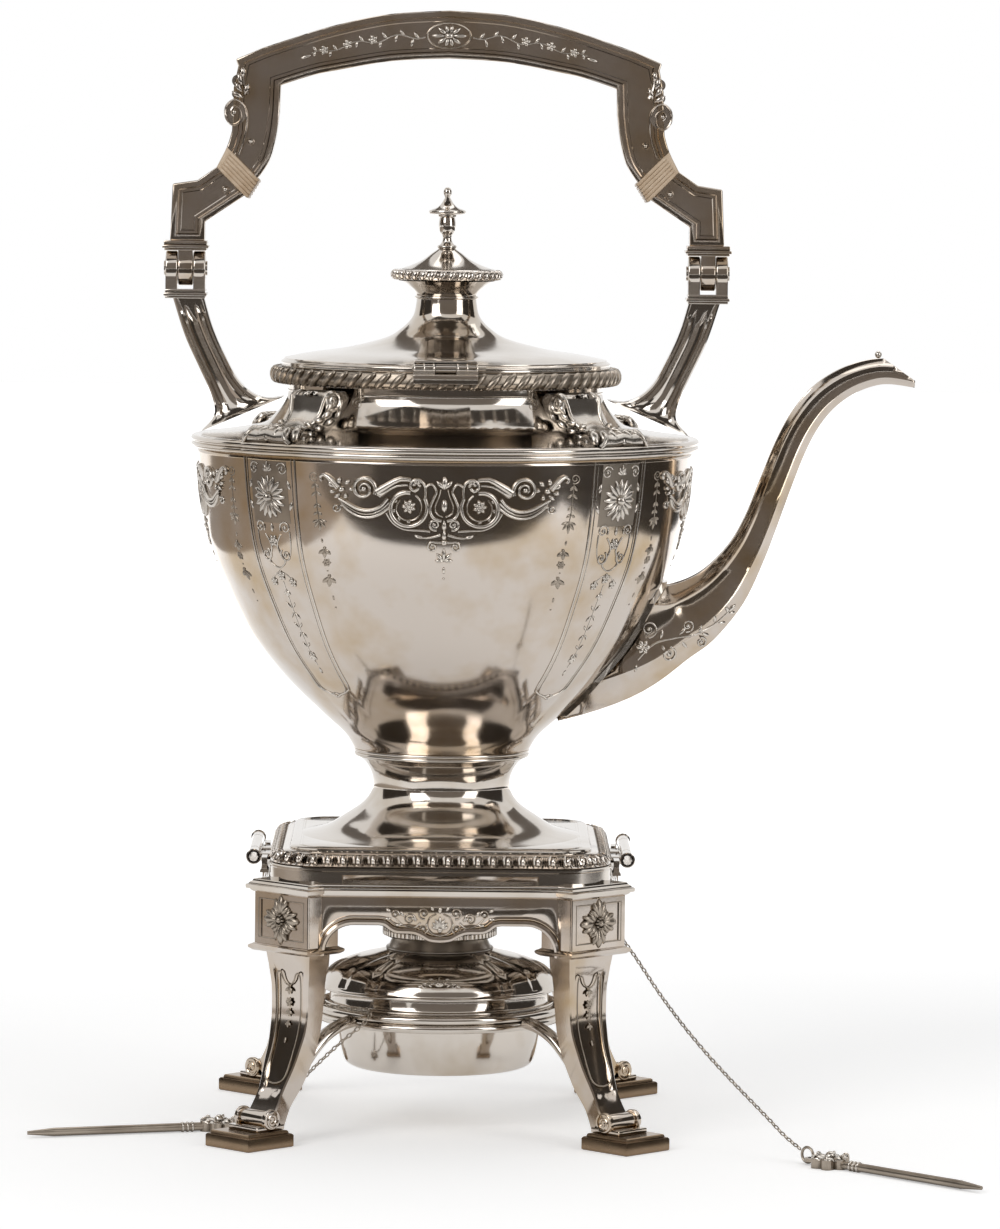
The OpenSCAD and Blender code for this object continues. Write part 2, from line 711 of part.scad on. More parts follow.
module foot_band() {
    wall = 1.6;
    color(silver) at_axis() translate([0, 0, stand_h]) difference() {
        linear_extrude(band_h) difference() {
            rounded_square(band_half, foot_corner_r);
            rounded_square(band_half - wall, foot_corner_r - wall);
        }
        for (turn = [0, 90]) rotate([0, 0, turn])
            translate([-vent_half, -band_half - 5, -1])
                cube([2 * vent_half, 2 * band_half + 10, vent_h + 1]);
    }
}

// A point round a rounded square, at the distance s along it from the middle of its right side
function round_square_point(half, r, s) =
    let (straight = 2 * (half - r), turn = r * PI / 2, side = straight + turn,
        n = floor((s + straight / 2) / side), rest = s + straight / 2 - n * side,
        p = rest < straight ? [half, rest - straight / 2]
            : let (a = (rest - straight) / r * 180 / PI)
                [half - r + r * cos(a), half - r + r * sin(a)],
        c = cos(90 * n), w = sin(90 * n))
    [c * p[0] - w * p[1], w * p[0] + c * p[1]];

// Rounded square with a row of round lobes along its edge
module lobed_square(half, r, depth) {
    per_lobe = 3;
    eggs = border_eggs * 4 + 20;
    total = 4 * (2 * (half - r) + r * PI / 2);
    polygon([for (i = [0:eggs * per_lobe - 1])
        let (p = round_square_point(half, r, total * i / (eggs * per_lobe)),
            q = round_square_point(half - depth, r - depth,
                (total - 2 * PI * depth) * i / (eggs * per_lobe)),
            lobe = abs(sin(180 * i / per_lobe)))
        q + (p - q) * lobe]);
}

border_steps = [[0, 0.5], [0.16, 0], [0.42, 1.1], [0.64, 2.9], [0.84, 4.9]];

module foot_border() {
    color(silver) at_axis() difference() {
        for (i = [0:len(border_steps) - 1])
            translate([0, 0, band_top + border_h * border_steps[i][0]])
                linear_extrude(border_h * ((i < len(border_steps) - 1
                    ? border_steps[i + 1][0] : 1) - border_steps[i][0]))
                    if (i == 0)
                        rounded_square(band_half - border_steps[i][1], foot_corner_r);
                    else
                        lobed_square(band_half + 0.3 - border_steps[i][1],
                            foot_corner_r - border_steps[i][1], 0.8);
        translate([0, 0, band_top - 1]) linear_extrude(border_h + 2)
            rounded_square(band_half - 8.6, foot_corner_r - 8.6);
    }
}

plate_half = band_half - 6.6;
plate_t = 1.4;
neck_foot_r = plate_half - 3;

module base_plate() {
    color(silver) at_axis() translate([0, 0, plate_z]) difference() {
        linear_extrude(plate_t) rounded_square(plate_half, foot_corner_r - 6.6);
        translate([0, 0, -1]) cylinder(h = plate_t + 2, r = neck_foot_r - 3);
    }
}

spool_z = plate_z + plate_t;
spool_h = body_z - spool_z;
bead_h = 1.35;
spool_side = curve([[neck_foot_r, spool_z], [waist_r + 16, spool_z + 0.075 * spool_h],
    [waist_r + 10, spool_z + 0.2 * spool_h], [waist_r + 3.3, spool_z + 0.36 * spool_h],
    [waist_r + 0.3, spool_z + 0.51 * spool_h], [waist_r + 0.4, spool_z + 0.64 * spool_h],
    [waist_r + 2.6, spool_z + 0.8 * spool_h], [collar_r - 0.9, body_z - 2 * bead_h]], 5);

module foot_neck() {
    inner = [for (q = inner_side(spool_side, sheet)) [q[0], max(q[1], spool_z)]];
    color(silver) at_axis() rotate_extrude() polygon(concat(spool_side,
        arc_points([collar_r - bead_h / 2, body_z - 1.5 * bead_h], bead_h / 2, -90, 80, 6),
        arc_points([collar_r - bead_h / 2, body_z - 0.5 * bead_h], bead_h / 2, -80, 90, 6),
        [[waist_r + 0.4, body_z], [waist_r + 0.4, body_z - bead_h]],
        rev([for (i = [0:len(inner) - 4]) inner[i]])));
}

// Kettle body

function body_point(q) = [collar_r + q[1] * (body_r - collar_r), body_z + q[0] * body_h];

// Side of the body: share of its height, and share of its spread
body_side = curve([for (q = [[0, 0], [0.05, 0.062], [0.12, 0.208], [0.23, 0.424], [0.36, 0.622],
    [0.5, 0.766], [0.66, 0.898], [0.82, 0.962], [1, 1]]) body_point(q)], 5);

module body_bowl() {
    dish = waist_r + 0.4;
    inner = inner_side(body_side, sheet);
    color(silver) at_axis() difference() {
        rotate_extrude() polygon(concat(
            [[0, body_z - 1.8], [dish * 0.5, body_z - 1.5], [dish * 0.85, body_z - 0.7],
            [dish, body_z]],
            body_side, rev([for (i = [1:len(inner) - 1]) inner[i]]),
            [[dish * 0.85, body_z - 0.7 + sheet], [dish * 0.5, body_z - 1.5 + sheet],
            [0, body_z - 1.8 + sheet]]));
        strainer();
    }
}

// A rosette of strainer holes through the wall behind the spout
module strainer() {
    at_z = body_z + 0.35 * body_h;
    ring = 5.4;
    for (i = [0:6]) {
        y = i == 0 ? 0 : ring * cos(60 * i);
        z = i == 0 ? 0 : ring * sin(60 * i);
        translate([body_r * 0.5, y, at_z + z]) rotate([0, 90, 0])
            cylinder(h = body_r * 0.5, r = strainer_r, $fn = 32);
    }
}

// The space that the body fills, grown by d
module body_space(d) {
    side = d == 0 ? body_side : shifted(body_side, d);
    last = side[len(side) - 1];
    rotate_extrude() polygon(concat([[0, body_z - 3]], [[side[0][0], side[0][1] - 0.01]],
        side, [[last[0], rim_z + 2], [0, rim_z + 2]]));
}

module body_rim() {
    inner = body_r - sheet;
    notch_at = rim_r + 0.4;
    color(silver) at_axis() difference() {
        rotate_extrude() polygon(concat(
            [[inner, rim_z], [body_r + 0.9, rim_z]],
            arc_points([rim_r - 1.1, rim_z + 1.3], 1.1, -70, 35, 4),
            arc_points([rim_r - 1.3, rim_z + rim_h - 1.5], 1.3, -15, 80, 4),
            [[body_r - 0.4, shoulder_z], [inner - 0.4, shoulder_z]]));
        for (i = [0:3], s = [-1, 1]) rotate([0, 0, 45 + 90 * i + s * pilaster_half])
            translate([notch_at, 0, rim_z - 1]) cylinder(h = rim_h + 2, r = 1.2, $fn = 4);
    }
}

pilaster_side = [for (q = body_side) if (q[1] > body_z + 0.14 * body_h
    && q[1] < rim_z - 1) q];

module pilasters() {
    color(silver) at_axis() for (i = [0:3])
        rotate([0, 0, 45 + 90 * i - pilaster_half])
            rotate_extrude(angle = 2 * pilaster_half) polygon(concat(
                shifted(pilaster_side, pilaster_t), rev(pilaster_side)));
}

shoulder_side = curve([[body_r - 0.4, shoulder_z], [body_r - 6, shoulder_z + 0.045 * shoulder_h],
    [body_r - 15, shoulder_z + 0.12 * shoulder_h], [neck_r + 8, shoulder_z + 0.22 * shoulder_h],
    [neck_r + 4.2, shoulder_z + 0.4 * shoulder_h], [neck_r + 1.2, shoulder_z + 0.62 * shoulder_h],
    [neck_r, shoulder_z + 0.8 * shoulder_h], [neck_r + 0.3, gadroon_z]], 5);

module body_shoulder() {
    seat = body_r - 0.4 - sheet - step_t;
    inner = [for (q = inner_side(shoulder_side, sheet)) [min(q[0], seat), q[1]]];
    color(silver) at_axis() rotate_extrude() polygon(concat(shoulder_side, rev(inner)));
}

// The space that the shoulder and the rim fill
module shoulder_space() {
    rotate_extrude() polygon(concat([[0, rim_z - 2], [rim_r, rim_z - 2], [rim_r, shoulder_z]],
        shoulder_side, [[neck_r + 0.3, gadroon_z + 0.5], [0, gadroon_z + 0.5]]));
}

// Round outline with n lobes of the given depth
module lobed_circle(r, n, depth) {
    per_lobe = 3;
    polygon([for (i = [0:n * per_lobe - 1])
        let (q = r - depth + depth * abs(sin(180 * i / per_lobe)))
            q * [cos(360 * i / (n * per_lobe)), sin(360 * i / (n * per_lobe))]]);
}

// Steps of the gadrooned collar: share of its height, and distance in from its edge
gadroon_steps = [[0, 1.6], [0.2, 0.3], [0.48, 0], [0.76, 0.9]];

module gadroon_collar() {
    color(silver) at_axis() difference() {
        for (i = [0:len(gadroon_steps) - 1])
            translate([0, 0, gadroon_z + gadroon_h * gadroon_steps[i][0]])
                linear_extrude(gadroon_h * ((i < len(gadroon_steps) - 1
                    ? gadroon_steps[i + 1][0] : 1) - gadroon_steps[i][0]))
                    lobed_circle(gadroon_r - gadroon_steps[i][1], gadroons, 0.9);
        translate([0, 0, gadroon_z - 1]) cylinder(h = gadroon_h + 2, r = neck_in);
    }
}

// Side view of a shoulder console: a scroll at the neck that runs out to a lobed foot
console_end = body_r - 0.8;
console_run = console_end - neck_r;
console_out = curve([[console_end, shoulder_z], [console_end + 1, shoulder_z + 2],
    [console_end - 1.5, shoulder_z + 4.6], [neck_r + 0.767 * console_run, shoulder_z + 5.2],
    [neck_r + 0.583 * console_run, shoulder_z + 5.2],
    [neck_r + 0.433 * console_run, shoulder_z + 6.8],
    [neck_r + 0.347 * console_run, shoulder_z + 10.5],
    [neck_r + 0.313 * console_run, shoulder_z + 14]], 4);

module corner_consoles() {
    scroll_r = 3.6;
    scroll_at = [neck_r + 6.2, gadroon_z - scroll_r - 0.5];
    color(silver) at_axis() difference() {
        at_corners() {
            along_side(9) polygon(concat(console_out, [[neck_r - 2, shoulder_z + 14],
                [neck_r - 2, shoulder_z - 3], [console_end, shoulder_z - 3]]));
            translate([scroll_at[0], 5, scroll_at[1]]) rotate([90, 0, 0])
                cylinder(h = 10, r = scroll_r);
            for (s = [-1, 0, 1]) translate([console_end - 4.4, s * 5.2, shoulder_z + 0.6])
                rotate([0, 90, 0]) cylinder(h = 10, r = 2.9, center = true);
        }
        shoulder_space();
    }
}

// Spout

spout_root_x = collar_r + 0.477 * (body_r - collar_r);
spout_root_z = body_z + 0.35 * body_h;

// Stations of the spout: share of its reach, share of its rise, slope in degrees,
// half height in shares of the width at the narrow end, half width in the same shares
spout_stations = [[-0.04, -0.02, -27, 3.13, 1.6], [0.1, 0.04, -6, 2.5, 1.7],
    [0.21, 0.085, 20, 1.62, 1.5], [0.28, 0.125, 40, 1.38, 1.22],
    [0.375, 0.215, 58, 1.06, 0.98], [0.45, 0.335, 68, 0.78, 0.82], [0.5, 0.455, 72, 0.66, 0.7],
    [0.548, 0.6, 71, 0.63, 0.62], [0.595, 0.735, 69, 0.62, 0.58], [0.642, 0.835, 61, 0.61, 0.55],
    [0.7, 0.915, 47, 0.6, 0.52], [0.773, 0.974, 30, 0.56, 0.5], [0.854, 1.009, 14, 0.52, 0.48],
    [0.925, 1.014, -3, 0.49, 0.46], [1.03, 0.99, -14, 0.42, 0.4]];

function spout_centre(s) = [spout_root_x + s[0] * (spout_reach - spout_root_x), 0,
    spout_root_z + s[1] * (spout_tip_z + 1.6 - spout_root_z)];

// Eight-sided panelled section, grown by d
section = [[1, 0.42], [0.5, 1], [-0.5, 1], [-1, 0.42], [-1, -0.42], [-0.5, -1], [0.5, -1],
    [1, -0.42]];

function spout_rings(d) = [
    for (s = curve(spout_stations, 2)) let (c = spout_centre(s), a = s[2],
        up = [-sin(a), 0, cos(a)], h = s[3] * spout_w + d, w = s[4] * spout_w + d)
        for (k = [0:7]) c + up * h * section[k][0] + [0, w * section[k][1], 0]];

function ring_faces(rings, first) = [
    for (i = [0:rings - 2]) for (k = [0:7]) let (
        a = first + i * 8 + k, b = first + i * 8 + (k + 1) % 8)
        each [[a, b, b + 8], [a, b + 8, a + 8]]];

// The closed outer or inner form of the spout; a larger form also starts further back
module spout_form(d) {
    back = 3 * max(d, 0) * unit([cos(spout_stations[0][2]), 0, sin(spout_stations[0][2])]);
    rings = spout_rings(d);
    p = [for (i = [0:len(rings) - 1]) rings[i] - (i < 8 ? back : [0, 0, 0])];
    n = len(p) / 8;
    polyhedron(p, concat(ring_faces(n, 0), [[for (k = [7:-1:0]) k]],
        [[for (k = [0:7]) (n - 1) * 8 + k]]));
}

// Cuts the mouth open along a slanting line
module mouth_cut() {
    high = [spout_root_x + 0.885 * (spout_reach - spout_root_x), spout_tip_z + 8.4];
    low = [spout_reach, spout_tip_z + 0.4];
    along_side(60) polygon([high, low, [spout_reach + 20, low[1]],
        [spout_reach + 20, high[1] + 20], [high[0] + 2, high[1] + 20]]);
    translate([spout_reach, -30, spout_tip_z - 40]) cube([30, 60, 80]);
}

module spout() {
    color(silver) at_axis() difference() {
        spout_form(0);
        spout_form(-spout_wall);
        body_space(0);
        mouth_cut();
    }
}

// A skin of the given thickness over the outside of the body
module body_skin(d) {
    side = [for (q = body_side) if (q[1] < rim_z - 3) q];
    rotate_extrude() polygon(concat(shifted(side, d), rev(side)));
}

module spout_collar() {
    color(silver) at_axis() intersection() {
        body_skin(1.6);
        difference() {
            spout_form(2);
            spout_form(0);
        }
    }
}

// Kettle side of the tubes that the retaining pins go through
module kettle_tubes() {
    color(silver) at_axis() for (side = [-1, 1]) mirror([side < 0 ? 1 : 0, 0, 0])
        difference() {
            union() {
                y_tube(tube_x, tube_z, -mid_half, mid_half, tube_r);
                translate([band_half, -mid_half + 2, stand_h + 1.2])
                    cube([tube_x - band_half, tube_mid_len - 4, band_h - 1.4]);
            }
            y_tube(tube_x, tube_z, -mid_half - 1, mid_half + 1, tube_bore_r);
        }
}

// Bail handle

arm_collar_top = knuckle_z - knuckle_r - 1.2;
arm_collar_t = 3.1;

// Fixed arm at the right, in side view
arm_out = curve([[knuckle_x + 4.1, arm_collar_top - arm_collar_t], [knuckle_x, knuckle_z - 22.8],
    [knuckle_x - 5.2, knuckle_z - 34.1], [knuckle_x - 9.3, knuckle_z - 43.1],
    [knuckle_x - 10.3, knuckle_z - 49.9], [knuckle_x - 5.8, shoulder_z + 0.9]], 5);
arm_in = curve([[neck_r - 1, gadroon_z - 5], [neck_r + 8.8, gadroon_z - 5.4],
    [neck_r + 16.4, gadroon_z - 0.3], [knuckle_x - 13.4, knuckle_z - 29],
    [knuckle_x - 9.3, knuckle_z - 19.7], [knuckle_x - 6.5, arm_collar_top - arm_collar_t]], 5);
arm_half_depth = curve([[12.5, shoulder_z - 4], [9.5, shoulder_z + 3], [6.4, shoulder_z + 10],
    [4.9, shoulder_z + 18], [4.6, knuckle_z - 20], [4.7, arm_collar_top - arm_collar_t]], 4);

module bail_arm() {
    groove = 0.8;
    difference() {
        union() {
            intersection() {
                along_side(40) polygon(concat(arm_out, [[neck_r - 1, shoulder_z - 4]], arm_in));
                along_diagonal(neck_r - 5, knuckle_x + 10)
                    polygon(concat(arm_half_depth, rev(flip(arm_half_depth))));
            }
            translate([knuckle_x - 7.4, -6.2, arm_collar_top - arm_collar_t])
                cube([14.8, 12.4, arm_collar_t]);
            for (s = [-1, 1]) translate([knuckle_x + s * (knuckle_w / 4 + leaf_half / 2
                + side_gap / 2), 0, 0]) ear(knuckle_w / 2 - leaf_half - side_gap);
        }
        shoulder_space();
        translate([0, 0, knuckle_z]) x_rod(knuckle_x - 20, knuckle_x + 20, bail_pin_r);
        for (s = [-1, 1]) along_groove(s, groove) polygon(concat(
            shifted(arm_out, -2.8), shifted(arm_in, -2.8)));
    }
}

// Cuts a shallow flute into the front or the back of an arm
module along_groove(s, depth) {
    intersection() {
        translate([0, s > 0 ? 20 : 0, 0]) rotate([90, 0, 0]) linear_extrude(20) children();
        translate([0, 0, 0]) along_diagonal(0, knuckle_x + 10) polygon(concat(
            [for (q = arm_half_depth) [s * (q[0] - depth), q[1]]],
            [[s * 30, arm_collar_top - 6], [s * 30, shoulder_z + 6]]));
        translate([0, -30, shoulder_z + 12]) cube([knuckle_x + 10, 60,
            arm_collar_top - arm_collar_t - 2 - shoulder_z - 12]);
    }
}

module x_rod(from, to, r) {
    translate([from, 0, 0]) rotate([0, 90, 0]) cylinder(h = to - from, r = r);
}

// One fixed leaf of a bail knuckle, standing on the arm's collar
module ear(w) {
    translate([0, 0, knuckle_z]) x_rod(-w / 2, w / 2, knuckle_r);
    translate([-w / 2, -knuckle_r, arm_collar_top - 1])
        cube([w, 2 * knuckle_r, knuckle_z - arm_collar_top + 1]);
}

module bail_arm_left() {
    color(silver) at_axis() mirror([1, 0, 0]) bail_arm();
}

module bail_arm_right() {
    color(silver) at_axis() bail_arm();
}

module bail_pins() {
    head = bail_pin_r + 0.45;
    half = knuckle_w / 2;
    color(dark_silver) at_axis() for (s = [-1, 1]) translate([s * knuckle_x, 0, knuckle_z]) {
        x_rod(-half, half, bail_pin_r);
        x_rod(half, half + pin_head_t, head);
        x_rod(-half - pin_head_t, -half, head);
    }
}

// Outline of the right half of the bail above its collar: outer side, then inner side
collar_low = knuckle_z + knuckle_r + 0.2;
collar_t = 3.4;
bail_z = collar_low + collar_t;
arch_in = 81.6;

// A point out from the knuckle and up from it, in hundredths of the bail's height
function bail_at(x, z) = [knuckle_x, knuckle_z] + bail_h / 100 * [x, z];

arch_z = bail_at(0, arch_in)[1];
bail_out = concat([[knuckle_x + 5.3, bail_z], bail_at(5.1, 32.5), bail_at(-4.4, 34)],
    curve([bail_at(-11.7, 39.1), bail_at(-15.6, 46.7), bail_at(-17.5, 52.9)], 3),
    arc_points(bail_at(-17.8, 60), 4, -70, 80, 8),
    [bail_at(-17.9, 69.5), bail_at(-19.8, 77.9), bail_at(-18.8, 80.5)],
    curve([bail_at(-29.2, 85), bail_at(-42.9, 89.6), bail_at(-57.7, 94.1),
        [knuckle_x * 0.2, bail_top - 1], [0, bail_top]], 4));
bail_in = concat(curve([[0, arch_z], [knuckle_x * 0.2, arch_z - 1],
    bail_at(-57.7, arch_in - 5), bail_at(-48.8, arch_in - 6.9),
    bail_at(-36.1, arch_in - 10.8)], 4),
    curve([bail_at(-35.8, 60.6), bail_at(-34.7, 51.7), bail_at(-32.3, 42.2),
        bail_at(-28.3, 35.8)], 3),
    curve([bail_at(-23.6, 28.9), bail_at(-16.3, 23.9), bail_at(-7.3, 17.9)], 3),
    [[knuckle_x - 6.5, bail_z]]);

module bail_outline() {
    outer = concat(bail_out, rev(flip([for (i = [0:len(bail_out) - 2]) bail_out[i]])));
    inner = concat(rev(flip([for (i = [1:len(bail_in) - 1]) bail_in[i]])), bail_in);
    polygon(concat(outer, inner));
}

// The line across the bail where a heat stop's lower side lies, and the way up along the bail
stop_at = bail_at(-17.6, 33.2);
stop_wide = 0.17 * bail_h;

module stop_band(from, to) {
    translate(stop_at) rotate(135) translate([from, -14]) square([to - from, 28]);
}

module bail_body() {
    groove = 0.7;
    rim = 2.2;
    difference() {
        along_side(bail_t) bail_outline();
        for (s = [-1, 1]) translate([0, s * (bail_t / 2 - groove / 2), 0]) along_side(groove + step_t)
            difference() {
                bail_face(rim);
                stop_zone(1.6);
            }
    }
}

// The face of the bail inside its raised edges
module bail_face(rim) {
    outer = shifted(concat(bail_out, rev(flip([for (i = [0:len(bail_out) - 2]) bail_out[i]]))), -rim);
    inner = shifted(concat(rev(flip([for (i = [1:len(bail_in) - 1]) bail_in[i]])), bail_in), -rim);
    difference() {
        polygon(concat([[outer[0][0], bail_z - 5]], outer, [[-outer[0][0], bail_z - 5]]));
        polygon(concat([[inner[0][0], bail_z - 6]], inner, [[-inner[0][0], bail_z - 6]]));
        translate([-200, bail_z - 10]) square([400, 10 + rim]);
    }
}

// A band round both heat stops
module stop_zone(margin) {
    for (m = [0, 1]) mirror([m, 0]) stop_band(-margin, stop_w + margin);
}

module bail_grip() {
    color(silver) at_axis() difference() {
        bail_body();
        for (m = [0, 1]) mirror([m, 0, 0]) along_side(bail_t + 2) below_stop(stop_w);
    }
}

// Everything on the knuckle's side of a line across the bail
module below_stop(d) {
    translate(stop_at) rotate(135) translate([d - 100, -60]) square([100, 120]);
}

module elbow() {
    difference() {
        union() {
            intersection() {
                bail_body();
                along_side(bail_t + 2) below_stop(0);
            }
            translate([knuckle_x - 7.4, -6.2, collar_low]) cube([14.8, 12.4, collar_t]);
            translate([knuckle_x, 0, knuckle_z]) x_rod(-leaf_half, leaf_half, knuckle_r);
            translate([knuckle_x - leaf_half, -knuckle_r + 0.6, knuckle_z])
                cube([2 * leaf_half, 2 * knuckle_r - 1.2, collar_low - knuckle_z + 0.5]);
        }
        translate([0, 0, knuckle_z])
            x_rod(knuckle_x - 9, knuckle_x + 9, bail_pin_r + run_gap);
    }
}

module bail_elbow_left() {
    color(silver) at_axis() mirror([1, 0, 0]) elbow();
}

module bail_elbow_right() {
    color(silver) at_axis() elbow();
}

module heat_stops() {
    color(bone) at_axis() for (m = [0, 1]) mirror([m, 0, 0]) {
        along_side(bail_t) intersection() {
            bail_outline();
            stop_band(0, stop_w);
        }
        for (i = [0:3]) along_side(bail_t + 0.8) intersection() {
            translate(stop_at) rotate(135) translate([0.5 + i * stop_w / 4, -stop_wide / 2])
                square([stop_w / 4 - 0.7, stop_wide + 0.6]);
            stop_block(0.4);
        }
    }
}

// A block round one heat stop, a little larger than the bail's outline there
module stop_block(d) {
    translate(stop_at) rotate(135) translate([-1, -stop_wide / 2 - d])
        square([stop_w + 2, stop_wide + 2 * d]);
}

module bail_rivets() {
    color(silver) at_axis() for (m = [0, 1], s = [-1, 1], q = [bail_at(-24.8, 48.9),
        bail_at(-15.2, 30.5)])
        mirror([m, 0, 0]) translate([q[0], s * (bail_t / 2 - 0.7), q[1]])
            rotate([-90 * s, 0, 0]) cylinder(h = 1.1, r = 1.1);
}

module bail_medallions() {
    color(silver) at_axis() for (s = [-1, 1])
        translate([0, s * (bail_t / 2 - 0.7), bail_top - 8.2]) rotate([-90 * s, 0, 0]) {
            linear_extrude(1) polygon([for (i = [0:35]) [8.2 * cos(10 * i), 4.6 * sin(10 * i)]]);
            linear_extrude(1.8) polygon([for (i = [0:35]) [5.6 * cos(10 * i), 2.9 * sin(10 * i)]]);
        }
}

// Lid

lid_side = curve([[lid_r - 1.2, lid_z + 3.1], [lid_r - 10, lid_z + 4.8],
    [lid_r * 0.6, lid_z + 6.7], [lid_r * 0.37, lid_z + 10.1], [lid_r * 0.268, lid_z + 13.6],
    [lid_r * 0.208, lid_z + 17.2], [lid_r * 0.186, lid_z + 21], [lid_r * 0.187, lid_z + 25.2],
    [lid_r * 0.24, lid_z + 28], [lid_r * 0.3, flange_z]], 5);

module lid_cover() {
    color(silver) at_axis() difference() {
        rotate_extrude() polygon(concat(
            [[lid_r - 6.5, lid_z], [lid_r, lid_z], [lid_r, lid_z + 1.9]], lid_side,
            [[lid_r * 0.3 - 3, flange_z]],
            rev([for (i = [0:len(lid_side) - 3]) shifted(lid_side, -sheet)[i]]),
            [[lid_r - 6.5, lid_z + 1.6]]));
        leaf_strap();
    }
}

module lid_bezel() {
    outer = neck_in - bezel_gap;
    color(silver) at_axis() translate([0, 0, lid_z - 5]) difference() {
        cylinder(h = 5, r = outer);
        translate([0, 0, -1]) cylinder(h = 7, r = outer - sheet);
    }
}

flange_h = 4.1;

module lid_flange() {
    h = flange_h;
    color(silver) at_axis() translate([0, 0, flange_z]) {
        linear_extrude(h * 0.25) circle(flange_r - 1.4);
        translate([0, 0, h * 0.25]) linear_extrude(h * 0.4) lobed_circle(flange_r, 40, 0.7);
        translate([0, 0, h * 0.65]) cylinder(h = h * 0.35, r1 = flange_r - 1, r2 = flange_r - 3);
    }
}

// Finial: share of its height, and radius
finial_steps = [[0, 15], [0.12, 9], [0.22, 3.9], [0.25, 3.2], [0.29, 3.4], [0.31, 1.7], [0.4, 1.4],
    [0.46, 1.6], [0.51, 2.8], [0.58, 3.3], [0.64, 2.2], [0.67, 5.9], [0.69, 6.3], [0.72, 6],
    [0.76, 3.2], [0.83, 1.4], [0.88, 0.9], [0.9, 1.2], [0.95, 1.45], [0.985, 0.9], [1, 0]];

module finial() {
    base = flange_z + flange_h;
    color(silver) at_axis() rotate_extrude() polygon(concat([[0, base]],
        [for (q = finial_steps) [q[1], base + q[0] * finial_h]]));
}

// The strap of the lid's hinge leaf, let into the lid's edge
module leaf_strap() {
    half = hinge_mid - side_gap;
    translate([-half, hinge_y, hinge_z - 0.5]) cube([2 * half, 7, 1.3]);
}

module lid_hinge_leaf() {
    half = hinge_mid - side_gap;
    color(silver) at_axis() difference() {
        union() {
            translate([0, hinge_y, hinge_z]) x_rod(-half, half, hinge_r);
            leaf_strap();
        }
        translate([0, hinge_y, hinge_z]) x_rod(-half - 1, half + 1, hinge_pin_r + run_gap);
    }
}

module lid_hinge_seat() {
    seat_y = hinge_y - 1.7;
    color(silver) at_axis() for (s = [-1, 1]) difference() {
        mirror([s < 0 ? 1 : 0, 0, 0]) {
            translate([0, hinge_y, hinge_z]) x_rod(hinge_mid, hinge_w / 2, hinge_r);
            translate([hinge_mid, seat_y, lid_z]) cube([hinge_w / 2 - hinge_mid, 2.6, 1.2]);
        }
        translate([0, hinge_y, hinge_z]) x_rod(-hinge_w, hinge_w, hinge_pin_r);
    }
}

module lid_hinge_pin() {
    color(dark_silver) at_axis() translate([0, hinge_y, hinge_z])
        x_rod(-hinge_w / 2 - 0.4, hinge_w / 2 + 2.6, hinge_pin_r);
}

top_frame();
side_apron(0);  // front_apron
side_apron(180);  // back_apron
side_apron(-90);  // left_apron
side_apron(90);  // right_apron
leg(225);  // leg_front_left
leg(315);  // leg_front_right
leg(135);  // leg_back_left
leg(45);  // leg_back_right
foot_pads();
corner_rosettes();
lamp_ring();
lamp_brackets();
stand_tubes();
chain_eyes();
left_chain();
right_chain();
left_pin();
right_pin();
pin_rings();
lamp_bowl();
lamp_cover();
lamp_neck();
burner_cap();
wick_tube();
wick();
foot_band();
foot_border();
base_plate();
foot_neck();
body_bowl();
body_rim();
pilasters();
body_shoulder();
gadroon_collar();
corner_consoles();
spout();
spout_collar();
kettle_tubes();
bail_arm_left();
bail_arm_right();
bail_pins();
lid_hinge_seat();
lid_hinge_pin();
lid_cover();
lid_bezel();
lid_flange();
finial();
lid_hinge_leaf();
bail_grip();
bail_elbow_left();
bail_elbow_right();
heat_stops();
bail_rivets();
bail_medallions();
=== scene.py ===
# Looks for a silver spirit kettle on its stand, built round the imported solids.
# Sizes here are millimetres about the kettle's own axis; finishPiece() moves them into the frame.
import json
import math
import bmesh
import bpy
from mathutils import Matrix, Vector
from mathutils.bvhtree import BVHTree

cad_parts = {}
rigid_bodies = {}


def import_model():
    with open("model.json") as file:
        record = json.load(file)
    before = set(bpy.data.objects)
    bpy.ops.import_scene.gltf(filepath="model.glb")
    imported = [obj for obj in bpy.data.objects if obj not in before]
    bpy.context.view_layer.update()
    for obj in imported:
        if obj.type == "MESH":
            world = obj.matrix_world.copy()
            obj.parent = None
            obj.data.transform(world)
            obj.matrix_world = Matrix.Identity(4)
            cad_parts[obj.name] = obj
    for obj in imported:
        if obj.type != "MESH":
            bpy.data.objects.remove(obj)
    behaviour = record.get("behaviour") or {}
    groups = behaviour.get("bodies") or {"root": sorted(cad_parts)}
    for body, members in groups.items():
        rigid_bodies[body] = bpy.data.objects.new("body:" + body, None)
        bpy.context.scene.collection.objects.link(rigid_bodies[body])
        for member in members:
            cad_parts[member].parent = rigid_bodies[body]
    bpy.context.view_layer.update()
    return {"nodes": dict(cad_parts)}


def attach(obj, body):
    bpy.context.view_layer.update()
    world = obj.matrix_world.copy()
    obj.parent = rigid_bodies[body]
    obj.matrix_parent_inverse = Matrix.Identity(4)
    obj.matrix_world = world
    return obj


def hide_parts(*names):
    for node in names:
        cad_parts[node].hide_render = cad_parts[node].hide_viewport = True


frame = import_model()
axisX = -31.95  # the kettle's axis in the frame
mm = 0.001


def turned(degrees, axis="Z"):
    return Matrix.Rotation(math.radians(degrees), 4, axis)


def shift(x, y, z):
    return Matrix.Translation((x, y, z))


